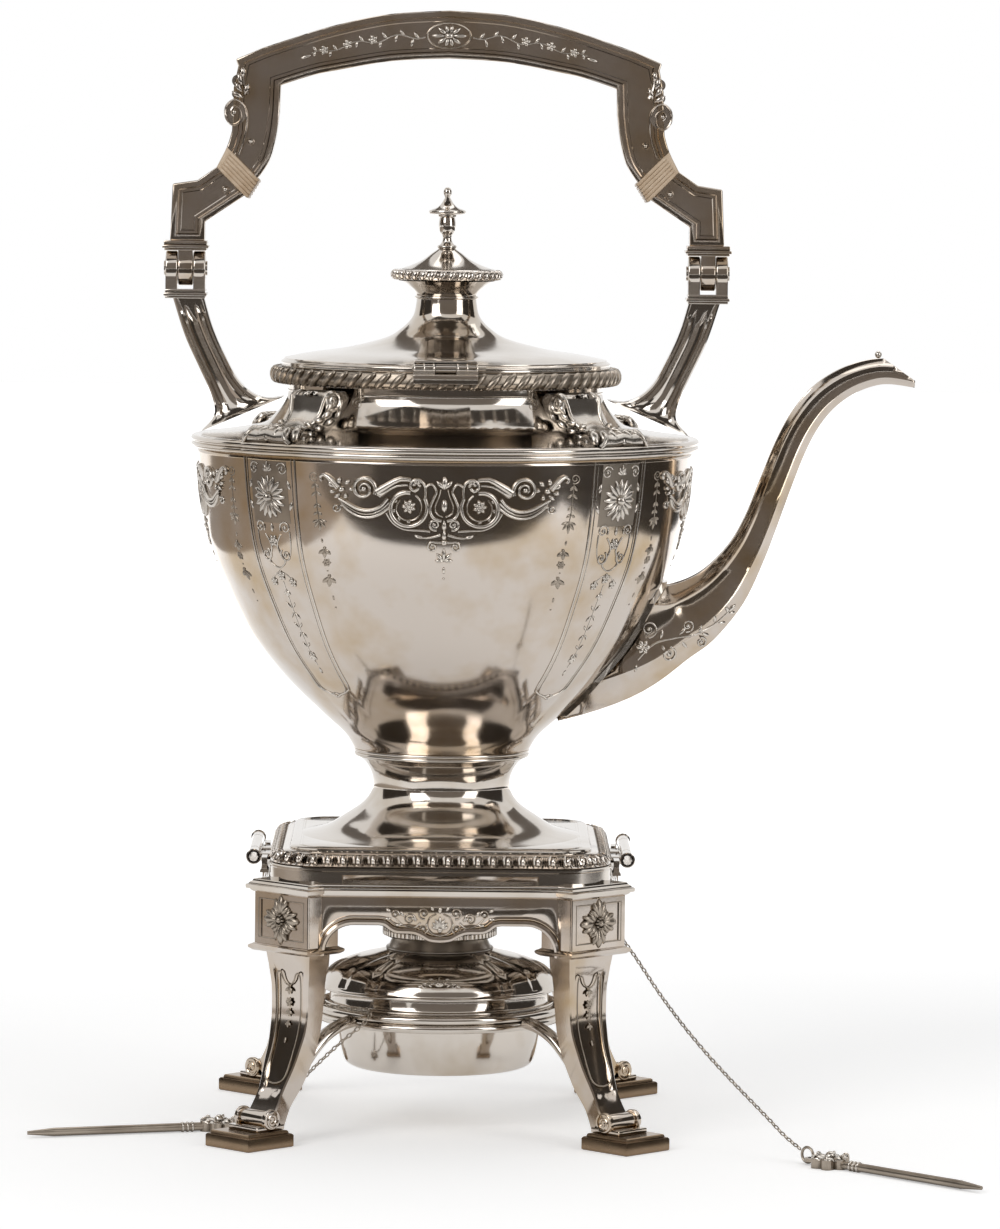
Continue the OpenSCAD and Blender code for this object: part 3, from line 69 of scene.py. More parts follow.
def addObject(name, data):
    # links an object to the scene; a bmesh becomes its mesh
    if isinstance(data, bmesh.types.BMesh):
        mesh = bpy.data.meshes.new(name)
        data.to_mesh(mesh)
        data.free()
        data = mesh
    thing = bpy.data.objects.new(name, data)
    bpy.context.scene.collection.objects.link(thing)
    return thing


def setInputs(tree, node, inputs):
    # each input takes a value or a link
    for socket, value in inputs.items():
        if isinstance(value, bpy.types.NodeSocket):
            tree.links.new(value, node.inputs[socket])
        else:
            node.inputs[socket].default_value = value
    return node


def addNode(tree, kind, inputs=None, **settings):
    node = tree.nodes.new("ShaderNode" + kind)
    for key, value in settings.items():
        setattr(node, key, value)
    return setInputs(tree, node, inputs or {})


def mathNode(tree, operation, *values):
    return addNode(tree, "Math", dict(enumerate(values)), operation=operation).outputs[0]


def newMaterial(name):
    mat = bpy.data.materials.new(name)
    mat.use_nodes = True
    return mat, mat.node_tree, mat.node_tree.nodes["Principled BSDF"]


# Camera, floor and light

cameraSettings = {
    "distance": 2236,  # from the lens to the middle of the picture
    "aim": (19.5, 0, 175),
    "height": 346.8,
    "lens": 190.8,
    "roll": 0.65,  # the object leans this much in the photograph
}


def placeCamera(settings):
    camData = bpy.data.cameras.new("camera")
    camData.sensor_width = 36
    camData.lens = settings["lens"]
    camData.clip_start, camData.clip_end = 0.05, 60
    cam = addObject("camera", camData)
    bpy.context.scene.camera = cam
    aim = Vector(settings["aim"])
    rise = settings["height"] - aim.z
    back = math.sqrt(settings["distance"] ** 2 - rise ** 2 - aim.x ** 2)
    place = Vector((0, -back, settings["height"]))
    turn = (aim - place).to_track_quat("-Z", "Y").to_matrix().to_4x4() @ turned(settings["roll"])
    cam.matrix_world = Matrix.Translation((place + Vector((axisX, 0, 0))) * mm) @ turn


studio = {
    "target": (axisX * mm, 0, 0.19),
    "floorColour": (0.93, 0.925, 0.915),
    "floorRadius": 6,
    "worldColour": (0.97, 0.98, 1),
    "worldFill": 0.45,
    "floorGlow": (0.25, 1.5, 0.3, 1),  # from one distance to another, and from one glow to another
    "lights": [  # name, place, width, height, power
        ("key", (-1.3, -1.5, 1.3), 1.1, 1.3, 15),
        ("fill", (1.5, -1.2, 0.8), 0.8, 1.3, 8),
        ("top", (0.2, 0.6, 1.9), 1.5, 1.5, 7),
    ],
    "cardColour": (0.075, 0.066, 0.058),
    "cards": [  # name, place, width, height, times the colour; a card near the floor lies flat
        ("cardFront", (0.3, -3.0, 1.15), 4.6, 2.3, 5.4),
        ("cardFrontLow", (0.1, -1.8, 0.003), 4.4, 2.7, 1.3),
        ("cardLeft", (-2.9, -0.2, 1.0), 3.4, 1.7, 1.2),
        ("cardRight", (2.9, 0.2, 1.0), 3.4, 1.9, 1.2),
        ("cardRightLow", (1.7, 0.3, 0.003), 2.0, 2.4, 1),
        ("cardAbove", (0.1, -0.5, 2.9), 3.8, 2.3, 1.5),
        ("cardFrontLeft", (-2.3, -2.1, 0.9), 1.5, 1.8, 5),
        ("cardLeftLow", (-1.5, 0.3, 0.003), 1.9, 2.4, 8.5),
        ("cardBack", (0.1, 2.9, 2.1), 3.2, 1.0, 4),
    ],
}


def addWorld(settings):
    # soft light for the metal's diffuse share, and white for the eye and for reflections
    world = bpy.data.worlds.new("studio")
    bpy.context.scene.world = world
    world.use_nodes = True
    tree = world.node_tree
    tree.nodes.clear()
    soft = addNode(tree, "Background", {"Color": (*settings["worldColour"], 1),
                                        "Strength": settings["worldFill"]})
    white = addNode(tree, "Background", {"Color": (1, 1, 1, 1), "Strength": 1})
    path = addNode(tree, "LightPath").outputs
    seen = mathNode(tree, "MAXIMUM", path["Is Camera Ray"], path["Is Glossy Ray"])
    seen = mathNode(tree, "MAXIMUM", seen, path["Is Transmission Ray"])
    pick = addNode(tree, "MixShader", {"Fac": seen, 1: soft.outputs[0], 2: white.outputs[0]})
    addNode(tree, "OutputWorld", {"Surface": pick.outputs[0]})


def addFloor(settings):
    # white far away, so that no horizon shows, and shaded near the object
    bm = bmesh.new()
    bmesh.ops.create_circle(bm, cap_ends=True, segments=96, radius=settings["floorRadius"])
    floor = addObject("floor", bm)
    mat, tree, shader = newMaterial("paleFloor")
    setInputs(tree, shader, {"Base Color": (*settings["floorColour"], 1), "Roughness": 0.9,
                             "Specular IOR Level": 0.1})
    coords = addNode(tree, "TexCoord").outputs["Object"]
    away = addNode(tree, "VectorMath", {0: coords}, operation="LENGTH").outputs["Value"]
    ease = dict(zip(("From Min", "From Max", "To Min", "To Max"), settings["floorGlow"]))
    ease = addNode(tree, "MapRange", {"Value": away, **ease}, interpolation_type="SMOOTHSTEP")
    path = addNode(tree, "LightPath").outputs
    seen = mathNode(tree, "MAXIMUM", path["Is Camera Ray"], path["Is Glossy Ray"])
    seen = mathNode(tree, "MULTIPLY", seen, ease.outputs["Result"])
    glow = addNode(tree, "Emission", {"Color": (1, 1, 1, 1), "Strength": seen})
    both = addNode(tree, "AddShader", {0: shader.outputs[0], 1: glow.outputs[0]})
    setInputs(tree, tree.nodes["Material Output"], {"Surface": both.outputs[0]})
    floor.data.materials.append(mat)


def addLights(settings):
    target = Vector(settings["target"])
    for name, place, wide, tall, power in settings["lights"]:
        data = bpy.data.lights.new(name, "AREA")
        data.shape = "RECTANGLE"
        data.size, data.size_y, data.energy = wide, tall, power
        lamp = addObject(name, data)
        lamp.location = place
        lamp.rotation_euler = (target - Vector(place)).to_track_quat("-Z", "Y").to_euler()

    # dark cards that only the metal sees, as a studio's black flags
    for name, place, wide, tall, shade in settings["cards"]:
        mat, tree, shader = newMaterial(name)
        setInputs(tree, shader, {"Base Color": (*(c * shade for c in settings["cardColour"]), 1),
                                 "Roughness": 1, "Specular IOR Level": 0})
        bm = bmesh.new()
        bmesh.ops.create_grid(bm, x_segments=1, y_segments=1, size=0.5)
        bmesh.ops.scale(bm, vec=(wide, tall, 1), verts=bm.verts)
        turn = (target - Vector(place)).to_track_quat("Z", "Y").to_matrix().to_4x4()
        if place[2] < 0.01:
            turn = Matrix.Identity(4)
        bmesh.ops.transform(bm, matrix=Matrix.Translation(place) @ turn, verts=bm.verts)
        card = addObject(name, bm)
        card.data.materials.append(mat)
        card.visible_camera = card.visible_diffuse = card.visible_shadow = False


placeCamera(cameraSettings)
bpy.context.scene.view_settings.view_transform = "Standard"
addWorld(studio)
addFloor(studio)
addLights(studio)
print("camera and studio ready")


# Finishes

def noiseNode(tree, coords, scale, detail=3, rough=0.5, stretch=None):
    if stretch:
        coords = addNode(tree, "Mapping", {"Vector": coords, "Scale": stretch}).outputs[0]
    return addNode(tree, "TexNoise", {"Vector": coords, "Scale": scale, "Detail": detail,
                                      "Roughness": rough}).outputs["Fac"]


def rampNode(tree, value, start, stop, low=0, high=1):
    # a grey ramp from low at start to high at stop
    ramp = addNode(tree, "ValToRGB", {"Fac": value})
    for element, place, grey in zip(ramp.color_ramp.elements, (start, stop), (low, high)):
        element.position = place
        element.color = (grey, grey, grey, 1)
    return ramp.outputs["Color"]


def mixColour(tree, amount, a, b):
    return addNode(tree, "Mix", {0: amount, 6: (*a, 1), 7: (*b, 1)}, data_type="RGBA").outputs[2]


def bumpNode(tree, height, strength, distance):
    return addNode(tree, "Bump", {"Height": height, "Strength": strength,
                                  "Distance": distance}).outputs[0]


silverLooks = {  # cover is the share of tarnished patches; crevice is how wide a hollow still gets painted shade from ambient occlusion, in the dark tarnished colour
    "polishedSilver": {"bright": (0.61, 0.56, 0.505), "tarnishAndShade": (0.40, 0.31, 0.20),
                       "cover": 0.5, "rough": (0.06, 0.15), "waver": 0.05},
    "bodySilver": {"bright": (0.57, 0.51, 0.455), "tarnishAndShade": (0.44, 0.32, 0.18),
                   "cover": 0.8, "rough": (0.06, 0.16), "waver": 0.05, "crevice": 0.0011},
    "chasedSilver": {"bright": (0.66, 0.61, 0.55), "tarnishAndShade": (0.12, 0.095, 0.07),
                     "cover": 0.5, "rough": (0.16, 0.34), "waver": 0.03, "crevice": 0.0022},
    "borderSilver": {"bright": (0.72, 0.66, 0.60), "tarnishAndShade": (0.14, 0.11, 0.08),
                     "cover": 0.5, "rough": (0.10, 0.22), "waver": 0.03, "crevice": 0.0009},
    "engravedSilver": {"bright": (0.40, 0.345, 0.285), "tarnishAndShade": (0.10, 0.08, 0.06),
                       "cover": 0.6, "rough": (0.24, 0.4), "waver": 0.03, "crevice": 0.0022},
    "dullSilver": {"bright": (0.60, 0.56, 0.51), "tarnishAndShade": (0.30, 0.25, 0.20),
                   "cover": 0.6, "rough": (0.24, 0.42), "waver": 0.08, "crevice": 0.003},
    "footSilver": {"bright": (0.30, 0.215, 0.14), "tarnishAndShade": (0.15, 0.09, 0.045),
                   "cover": 0.6, "rough": (0.16, 0.34), "waver": 0.1, "crevice": 0.003},
}


def silverFinish(name, look):
    mat, tree, shader = newMaterial(name)
    coords = addNode(tree, "TexCoord").outputs["Object"]
    patches = noiseNode(tree, coords, 17, 4, 0.6)
    clouds = noiseNode(tree, coords, 55, 3, 0.55)
    streaks = noiseNode(tree, coords, 40, 2, 0.5, (1, 1, 7))
    cover = look["cover"]
    stainAndShade = rampNode(tree, mathNode(tree, "MULTIPLY", patches, clouds), 0.30 - 0.12 * cover, 0.42,
                     0, cover)
    # painted shade: ambient occlusion darkens the colour towards the dark tarnished colour in
    # hollows and at the feet of raised ornament, on top of the real tarnished patches
    if look.get("crevice"):
        shade = addNode(tree, "AmbientOcclusion", {"Distance": look["crevice"]}, samples=6)
        hollow = rampNode(tree, shade.outputs["AO"], 0.25, 0.85, 1, 0)
        stainAndShade = mathNode(tree, "MAXIMUM", stainAndShade, mathNode(tree, "MULTIPLY", hollow, 0.95))
    low, high = look["rough"]
    spread = mathNode(tree, "MULTIPLY", mathNode(tree, "MAXIMUM", streaks, stainAndShade), high - low)
    dents = noiseNode(tree, coords, 26, 1, 0.3)
    grain = noiseNode(tree, coords, 900, 2, 0.5)
    relief = mathNode(tree, "ADD", dents, mathNode(tree, "MULTIPLY", grain, 0.012))
    setInputs(tree, shader, {
        "Base Color": mixColour(tree, stainAndShade, look["bright"], look["tarnishAndShade"]),
        "Roughness": mathNode(tree, "ADD", spread, low), "Metallic": 1,
        "Normal": bumpNode(tree, relief, look["waver"], 0.004)})
    return mat


def plainFinish(name, bright, shaded, rough, scale, sheen=0):
    mat, tree, shader = newMaterial(name)
    coords = addNode(tree, "TexCoord").outputs["Object"]
    fleck = noiseNode(tree, coords, scale, 4, 0.6)
    soft = noiseNode(tree, coords, scale * 0.2, 2, 0.5)
    mask = rampNode(tree, mathNode(tree, "MULTIPLY", fleck, soft), 0.15, 0.45)
    setInputs(tree, shader, {
        "Base Color": mixColour(tree, mask, bright, shaded), "Roughness": rough,
        "Sheen Weight": sheen, "Normal": bumpNode(tree, fleck, 0.4, 0.0003)})
    return mat


finishes = {name: silverFinish(name, look) for name, look in silverLooks.items()}
finishes["bone"] = plainFinish("bone", (0.60, 0.47, 0.34), (0.46, 0.33, 0.21), 0.4, 300)
finishes["cotton"] = plainFinish("cotton", (0.86, 0.84, 0.78), (0.70, 0.66, 0.58), 0.95, 1500, 0.3)
print("finishes ready")


# Tools for shaping

def smoothPath(points, steps=6):
    # a curve through points of any length, with steps to each stretch
    pts = [Vector(p) for p in points]
    path = []
    for i in range(len(pts) - 1):
        a, b, c, d = pts[max(i - 1, 0)], pts[i], pts[i + 1], pts[min(i + 2, len(pts) - 1)]
        for k in range(steps):
            t = k / steps
            path.append(0.5 * (2 * b + (c - a) * t + (2 * a - 5 * b + 4 * c - d) * t * t
                               + (3 * b - a - 3 * c + d) * t ** 3))
    path.append(pts[-1])
    return path


def at(path, t):
    # the point at a share t of the way along a path
    k = t * (len(path) - 1)
    i = min(int(k), len(path) - 2)
    return path[i].lerp(path[i + 1], k - i)


def level(line, x):
    # the height over x of a line of (x, height) points
    for a, b in zip(line, line[1:]):
        if a[0] <= x <= b[0]:
            return a[1] + (b[1] - a[1]) * (x - a[0]) / (b[0] - a[0])
    return line[0][1] if x < line[0][0] else line[-1][1]


def spot(centre, radius, degrees):
    return (centre[0] + radius * math.cos(math.radians(degrees)),
            centre[1] + radius * math.sin(math.radians(degrees)))


def arc(centre, radius, start, stop, steps=8):
    return [spot(centre, radius, start + (stop - start) * i / steps) for i in range(steps + 1)]


def rectangle(x0, x1, y0, y1):
    return [(x0, y0), (x1, y0), (x1, y1), (x0, y1)]


def tidy(bm, merge=0.0005):
    bmesh.ops.remove_doubles(bm, verts=bm.verts, dist=merge)
    faceOut(bm)


def faceOut(bm):
    bmesh.ops.recalc_face_normals(bm, faces=bm.faces)


def moveAll(bm, matrix):
    bmesh.ops.transform(bm, matrix=matrix, verts=bm.verts)
    return bm


def joinAll(bm, part, places=(Matrix(),)):
    # copies a part into bm at each place, and frees the part
    for place in places:
        mesh = bpy.data.meshes.new("joined")
        moveAll(part, place).to_mesh(mesh)
        moveAll(part, place.inverted())
        bm.from_mesh(mesh)
        bpy.data.meshes.remove(mesh)
    part.free()
    return bm


def mirrored(bm):
    other = bm.copy()
    bmesh.ops.scale(other, vec=(-1, 1, 1), verts=other.verts)
    bmesh.ops.reverse_faces(other, faces=other.faces)
    return other


def bothSides(bm):
    return joinAll(bm, mirrored(bm))


def finishPiece(bm, name, body, finish, replaces=(), sharp=38):
    for face in bm.faces:
        face.smooth = True
    for edge in bm.edges:
        if len(edge.link_faces) == 2:
            edge.smooth = edge.calc_face_angle(0) < math.radians(sharp)
    moveAll(bm, Matrix.Scale(mm, 4) @ shift(axisX, 0, 0))
    piece = addObject(name, bm)
    piece.data.materials.append(finishes[finish])
    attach(piece, body)
    if replaces:
        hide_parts(*replaces)
    return piece


def addWall(piece, thickness):
    wall = piece.modifiers.new("wall", "SOLIDIFY")
    wall.thickness = thickness * mm
    wall.offset = -1


def ballOf(radius, around, rings):
    bm = bmesh.new()
    bmesh.ops.create_uvsphere(bm, u_segments=around, v_segments=rings, radius=radius)
    return bm


def boxOf(size, ease=0):
    bm = bmesh.new()
    bmesh.ops.create_cube(bm, size=1)
    bmesh.ops.scale(bm, vec=size, verts=bm.verts)
    if ease:
        bmesh.ops.bevel(bm, geom=bm.edges[:], offset=ease, segments=2, profile=0.5,
                        affect="EDGES", material=-1)
    return bm


def rollOf(radius, length, ease=0, segments=28):
    # a cylinder along Z with its rims eased
    bm = bmesh.new()
    bmesh.ops.create_cone(bm, cap_ends=True, segments=segments, radius1=radius, radius2=radius,
                          depth=length)
    if ease:
        rims = [e for e in bm.edges if e.calc_face_angle(0) > 1]
        bmesh.ops.bevel(bm, geom=rims, offset=ease, segments=3, profile=0.5, affect="EDGES",
                        material=-1)
    return bm


def skinRings(bm, rings, closed=False, ends=True):
    # faces between rings of points; closed joins the last ring to the first
    rings = [[bm.verts.new(p) for p in ring] for ring in rings]
    loops = [[bm.edges.new((r[k], r[(k + 1) % len(r)])) for k in range(len(r))] for r in rings]
    for a, b in zip(loops, loops[1:] + loops[:1] * closed):
        bmesh.ops.bridge_loops(bm, edges=a + b)
    if ends:
        bm.faces.new(rings[0])
        bm.faces.new(rings[-1])


def extrudeRing(bm, ring):
    # a new ring of vertices grown from a ring, in the same order
    edges = [bm.edges.get((ring[k], ring[(k + 1) % len(ring)])) for k in range(len(ring))]
    made = bmesh.ops.extrude_edge_only(bm, edges=edges)
    fresh = {v for v in made["geom"] if isinstance(v, bmesh.types.BMVert)}
    return [next(e.other_vert(v) for e in v.link_edges if e.other_vert(v) in fresh) for v in ring]


def spinProfile(runs, segments=144, start=0.0):
    # runs are (radius, height) curves; each run is smooth and meets the next in a corner
    bm = bmesh.new()
    verts = [bm.verts.new((p[0], 0, p[1])) for run in runs for p in run]
    edges = [bm.edges.new(pair) for pair in zip(verts, verts[1:])
             if (pair[0].co - pair[1].co).length > 1e-5]
    bmesh.ops.rotate(bm, cent=(0, 0, 0), verts=verts, matrix=turned(start).to_3x3())
    bmesh.ops.spin(bm, geom=verts + edges, cent=(0, 0, 0), axis=(0, 0, 1), use_merge=True,
                   angle=math.tau, steps=segments)
    tidy(bm)
    return bm


def spunPiece(name, body, finish, runs, segments=144, replaces=(), wall=0, sharp=38, shape=None,
              start=0.0):
    bm = spinProfile(runs, segments, start)
    if shape:
        for v in bm.verts:
            shape(v)
    piece = finishPiece(bm, name, body, finish, replaces, sharp)
    if wall:
        addWall(piece, wall)


def cutOut(bm, outline, depth, place=None, bevel=0, segments=2):
    # a plate cut from an outline: extruded along its own normal, then its edges eased
    face = bm.faces.new([bm.verts.new((p[0], p[1], 0)) for p in outline])
    if face.normal.z < 0:
        face.normal_flip()
    made = bmesh.ops.extrude_face_region(bm, geom=[face], use_keep_orig=True)
    top = [g for g in made["geom"] if isinstance(g, bmesh.types.BMVert)]
    bmesh.ops.translate(bm, vec=(0, 0, depth), verts=top)
    verts = list(set(top) | set(face.verts))
    faces = list({f for v in verts for f in v.link_faces})
    bmesh.ops.recalc_face_normals(bm, faces=faces)
    if bevel:
        rims = [e for e in {e for v in verts for e in v.link_edges}
                if len(e.link_faces) == 2 and e.calc_face_angle(0) > 0.6]
        made = bmesh.ops.bevel(bm, geom=rims, offset=bevel, segments=segments, profile=0.5,
                               affect="EDGES", material=-1, clamp_overlap=True)
        faces = [f for f in faces if f.is_valid] + made["faces"]
        verts = list({v for f in faces for v in f.verts})
    if place:
        bmesh.ops.transform(bm, matrix=place, verts=verts)


def offsetOutline(outline, distance):
    # each point moves along its corner's mitre; a positive distance grows a counterclockwise loop
    pts = [Vector(p[:2]) for p in outline]
    moved = []
    for i, p in enumerate(pts):
        a, b = (p - pts[i - 1]).normalized(), (pts[(i + 1) % len(pts)] - p).normalized()
        n1, n2 = Vector((a.y, -a.x)), Vector((b.y, -b.x))
        mitre = n1 + n2
        mitre = mitre / max(mitre.dot(n1), 0.35)
        moved.append(p + mitre * distance)
    return moved


def slabOf(outline, levels):
    # a moulded slab: the outline is carried up through levels of (height, overhang)
    bm = bmesh.new()
    start = offsetOutline(outline, levels[0][1])
    ring = [bm.verts.new((*p, levels[0][0])) for p in start]
    bm.faces.new(ring)
    for height, over in levels[1:]:
        ring = extrudeRing(bm, ring)
        for v, p in zip(ring, offsetOutline(outline, over)):
            v.co = (p.x, p.y, height)
    bm.faces.new(ring)
    faceOut(bm)
    return bm


def ringSlab(bm, outline, levels, inner):
    # as slabOf, but open in the middle down to the inner outline
    rings = [[(*p, height) for p in offsetOutline(outline, over)] for height, over in levels]
    rings += [[(p[0], p[1], height) for p in inner] for height in (levels[-1][0], levels[0][0])]
    skinRings(bm, rings, True, False)
    faceOut(bm)


def roundedSquare(half, radius, steps=10):
    return [p for i, (sx, sy) in enumerate(((1, 1), (-1, 1), (-1, -1), (1, -1)))
            for p in arc((sx * (half - radius), sy * (half - radius)), radius,
                         90 * i, 90 * i + 90, steps)]


def drawTube(bm, points, radii, sides=8, flat=1.0, close=True):
    # a tapered tube drawn along a path; flat squashes it along its first side
    pts = [Vector(p) for p in points]
    radii = [radii] * len(pts) if isinstance(radii, (int, float)) else radii
    heads = [(pts[min(i + 1, len(pts) - 1)] - pts[max(i - 1, 0)]).normalized()
             for i in range(len(pts))]
    side = heads[0].orthogonal().normalized()
    ring = bmesh.ops.create_circle(bm, cap_ends=False, segments=sides, radius=1)["verts"]
    spots = [Vector((v.co.x, v.co.y)) for v in ring]
    allVerts = list(ring)
    for i, (p, head, r) in enumerate(zip(pts, heads, radii)):
        side = (side - head * side.dot(head)).normalized()
        across = head.cross(side)
        if i:
            ring = extrudeRing(bm, ring)
            allVerts += ring
        for v, s in zip(ring, spots):
            v.co = p + side * (s.x * r * flat) + across * (s.y * r)
    if close:
        bm.faces.new(ring)
        bm.faces.new(allVerts[:sides])
    return allVerts


def panelled(strength, reach=1):
    # moves a vertex by how far the panels lie off the round; none closer in than reach
    def shape(v):
        r = math.hypot(v.co.x, v.co.y)
        if r < reach:
            return
        off = panelOffset(math.degrees(math.atan2(v.co.y, v.co.x)), strength(v.co.z, r))
        v.co.x *= (r + off) / r
        v.co.y *= (r + off) / r
    return shape


# Kettle body: four bowed panels with a narrow pilaster at each diagonal

bodySize = {"wall": 1.2, "pilaster": 8.4375, "crease": 1.0, "start": 0.5625, "segments": 320}
bodyCurve = smoothPath([(30.2, 129.1), (33.6, 134.2), (41.5, 141.4), (53.3, 152.7), (64.1, 166.1),
                        (72.0, 180.5), (79.1, 196.9), (82.6, 213.4), (84.7, 231.9)], 7)
shoulderCurve = smoothPath([(84.3, 236.3), (78.7, 237.1), (69.7, 238.5), (61.9, 240.3),
                            (58.1, 243.5), (55.1, 247.5), (53.9, 250.7), (54.2, 254.3)], 6)


def bodyRadius(z):
    return level([(p.y, p.x) for p in bodyCurve], z)


def panelOffset(angle, strength=1.0):
    # how far the surface lies off the round at an angle in degrees
    t = (angle - 45) % 90
    t = t - 90 if t > 45 else t
    half = bodySize["pilaster"]
    if abs(t) <= half:
        return -bodySize["crease"] * (0.45 + 0.55 * (t / half) ** 2) * strength
    u = (45 - abs(t)) / (45 - half)  # 0 in the middle of a panel, 1 at its edge
    return (-bodySize["crease"] * u ** 6) * strength


for name, finish, runs, node, wall, sharp, strength in (
        ("kettleBody", "bodySilver",
         [[(0, 127.3), (12, 127.6), (20.4, 128.4), (24, 129.1)], bodyCurve],
         "body_bowl", bodySize["wall"], 38, lambda z, r: min(1.0, max(0.0, (z - 134) / 22))),
        ("kettleShoulder", "polishedSilver", [shoulderCurve], "body_shoulder", bodySize["wall"],
         38, lambda z, r: 0.9 - 0.5 * (z - 236) / 18),
        ("kettleRim", "polishedSilver",
         [[(83.4, 231.9), (85.6, 231.9)], arc((86.0, 233.1), 0.95, -75, 50, 5),
          [(86.3, 234.0)], arc((85.75, 235.0), 1.25, -25, 85, 6), [(84.2, 236.35), (83.0, 236.3)],
          [(83.4, 231.9)]], "body_rim", 0, 50, lambda z, r: 1.15)):
    spunPiece(name, "kettle", finish, runs, bodySize["segments"], (node,), wall, sharp,
              panelled(strength), bodySize["start"])
print("kettle body ready")


# Gadrooned edges

def gadroon(length, width, height, lean=0.35, sides=8, rings=5):
    # one plump lobe, leaning, lying along Z with its face towards +X
    bm = ballOf(1, sides, rings)
    for v in bm.verts:
        v.co.x = max(v.co.x, -0.35) * height
        v.co.z *= length / 2
        v.co.y = v.co.y * width / 2 + v.co.z * lean
    return bm


def ringOf(count, x, z, more=Matrix()):
    # places evenly round the axis
    return [turned(360 * i / count) @ shift(x, 0, z) @ more for i in range(count)]


collarBed = [[(52.6, 254.3), (56.4, 254.3), (58.5, 255.0), (59.0, 256.6), (58.3, 258.6)],
             arc((57.6, 258.9), 0.6, -10, 90, 4), [(52.6, 259.5)], [(52.6, 254.3)]]
collar = joinAll(bmesh.new(), gadroon(5.8, 3.9, 2.1, 0.8, 10, 7), ringOf(68, 58.2, 257.0))
joinAll(collar, spinProfile(collarBed, 160))
joinAll(collar, ballOf(0.55, 6, 4), ringOf(152, 57.4, 254.5))
finishPiece(collar, "gadroonCollar", "kettle", "engravedSilver", ("gadroon_collar",), 60)


# Lid, with its flange and finial

lidCurve = smoothPath([(55.1, 262.6), (46.3, 264.3), (33.8, 266.2), (20.9, 269.6), (15.1, 273.1),
                       (11.7, 276.7), (10.5, 280.5), (10.5, 284.7), (13.5, 287.5),
                       (16.9, 289.3)], 7)
spunPiece("lidCover", "lid", "polishedSilver",
          [[(49.8, 259.5), (55.7, 259.5)], arc((55.6, 260.2), 0.7, -80, 20, 4),
           arc((55.7, 261.2), 0.6, -30, 80, 4), [(55.1, 262.3)],
           lidCurve, [(13.9, 289.3)], [(13.9, 288.1), (12.6, 287.2)],
           [(9.3, 284.0), (9.3, 280.5), (10.6, 275.9), (14.2, 272.0), (20.5, 268.5),
            (33.6, 265.0), (46.2, 263.1), (49.8, 262.4)], [(49.8, 259.5)]],
          240, ("lid_cover",), sharp=40, start=0.75,
          # the edge dips a little at each diagonal, as the body's panels do
          shape=panelled(lambda z, r: 0.5 * (r - 50) / 6, 50))
seam = 283.6
spunPiece("lidSeam", "lid", "polishedSilver",
          [arc((10.35, seam), 0.55, -90, 90, 6), [(9.6, seam + 0.5), (9.6, seam - 0.5)],
           [(10.35, seam - 0.55)]], 96)
flange = joinAll(bmesh.new(), gadroon(3.6, 3.0, 1.7, 0.5), ringOf(34, 17.6, 291.3, turned(8, "Y")))
joinAll(flange, spinProfile([[(12, 289.3), (16.2, 289.3)], [(17.6, 289.9), (18.0, 291.2),
                                                            (17.2, 292.7)],
                             [(16.2, 293.3), (14, 293.4)], [(12, 293.4)], [(12, 289.3)]], 96))
finishPiece(flange, "lidFlange", "lid", "borderSilver", ("lid_flange",), 60)
finialCurve = [smoothPath([(15.3, 293.4), (12, 294.6), (8.2, 296.4), (5.2, 298.6),
                           (3.4, 299.8)], 4),
               arc((2.7, 300.8), 0.65, -70, 80, 5),
               smoothPath([(2.5, 301.5), (1.8, 302.5), (1.5, 303.7), (1.7, 304.8), (2.3, 305.6),
                           (2.8, 307.0), (2.9, 308.8), (2.6, 310.8)], 4),
               [(3.1, 311.2), (3.2, 311.6)],
               smoothPath([(4.4, 311.8), (5.5, 311.9)], 2), arc((5.6, 312.7), 0.75, -80, 80, 5),
               smoothPath([(5.2, 313.6), (3.3, 314.4), (2.1, 315.6), (1.3, 316.9),
                           (0.85, 317.7)], 4),
               smoothPath([(1.1, 318.3), (1.45, 319.3), (1.25, 320.3), (0.7, 320.95),
                           (0, 321.15)], 4)]
spunPiece("finialKnop", "lid", "polishedSilver", [[(0, 293.4)]] + finialCurve, 64,
          ("finial",), sharp=32)
print("lid ready")


# Kettle foot: spool, plate, egg and dart border and band

footSize = {"bandHalf": 57.6, "bandCorner": 20, "vent": (66, 130, 5.8), "ventAt": 88.3,
            "eggs": 82, "eggHalf": 55.6, "eggCorner": 18.2, "eggAt": 95.85}
spunPiece("footSpool", "kettle", "polishedSilver",
          [smoothPath([(48.0, 99.4), (39.6, 101.6), (33.6, 105.3), (26.9, 110.0), (23.9, 114.5),
                       (23.7, 118.3), (24.6, 121.4), (26.6, 124.4), (29.0, 126.2)], 6),
           arc((29.4, 127.1), 0.75, -85, 80, 5), arc((29.5, 128.4), 0.72, -80, 90, 5),
           [(24, 129.1)], [(24, 127.9), (25.4, 126.2), (23.4, 122.2), (22.5, 118.3),
                           (22.7, 114.1), (25.6, 109.1), (32.7, 104.1), (38.9, 100.5),
                           (44, 99.4)], [(48, 99.4)]],
          160, ("foot_neck",), sharp=40)


def makeFootPlate():
    bm = bmesh.new()
    outer = roundedSquare(51, 13.4)
    hole = [spot((0, 0), 45, math.degrees(math.atan2(p[1], p[0]))) for p in outer]
    ringSlab(bm, outer, [(98.0, 0), (98.7, 0), (99.1, -0.25), (99.4, -0.9)], hole)
    # a fine engraved double line round the top is left as a shallow raised thread
    for inset in (-3.2, -4.0):
        line = [(*p, 99.4) for p in offsetOutline(outer, inset)]
        drawTube(bm, line + line[:2], 0.16, 6, close=False)
    finishPiece(bm, "footPlate", "kettle", "polishedSilver", ("base_plate",), 30)


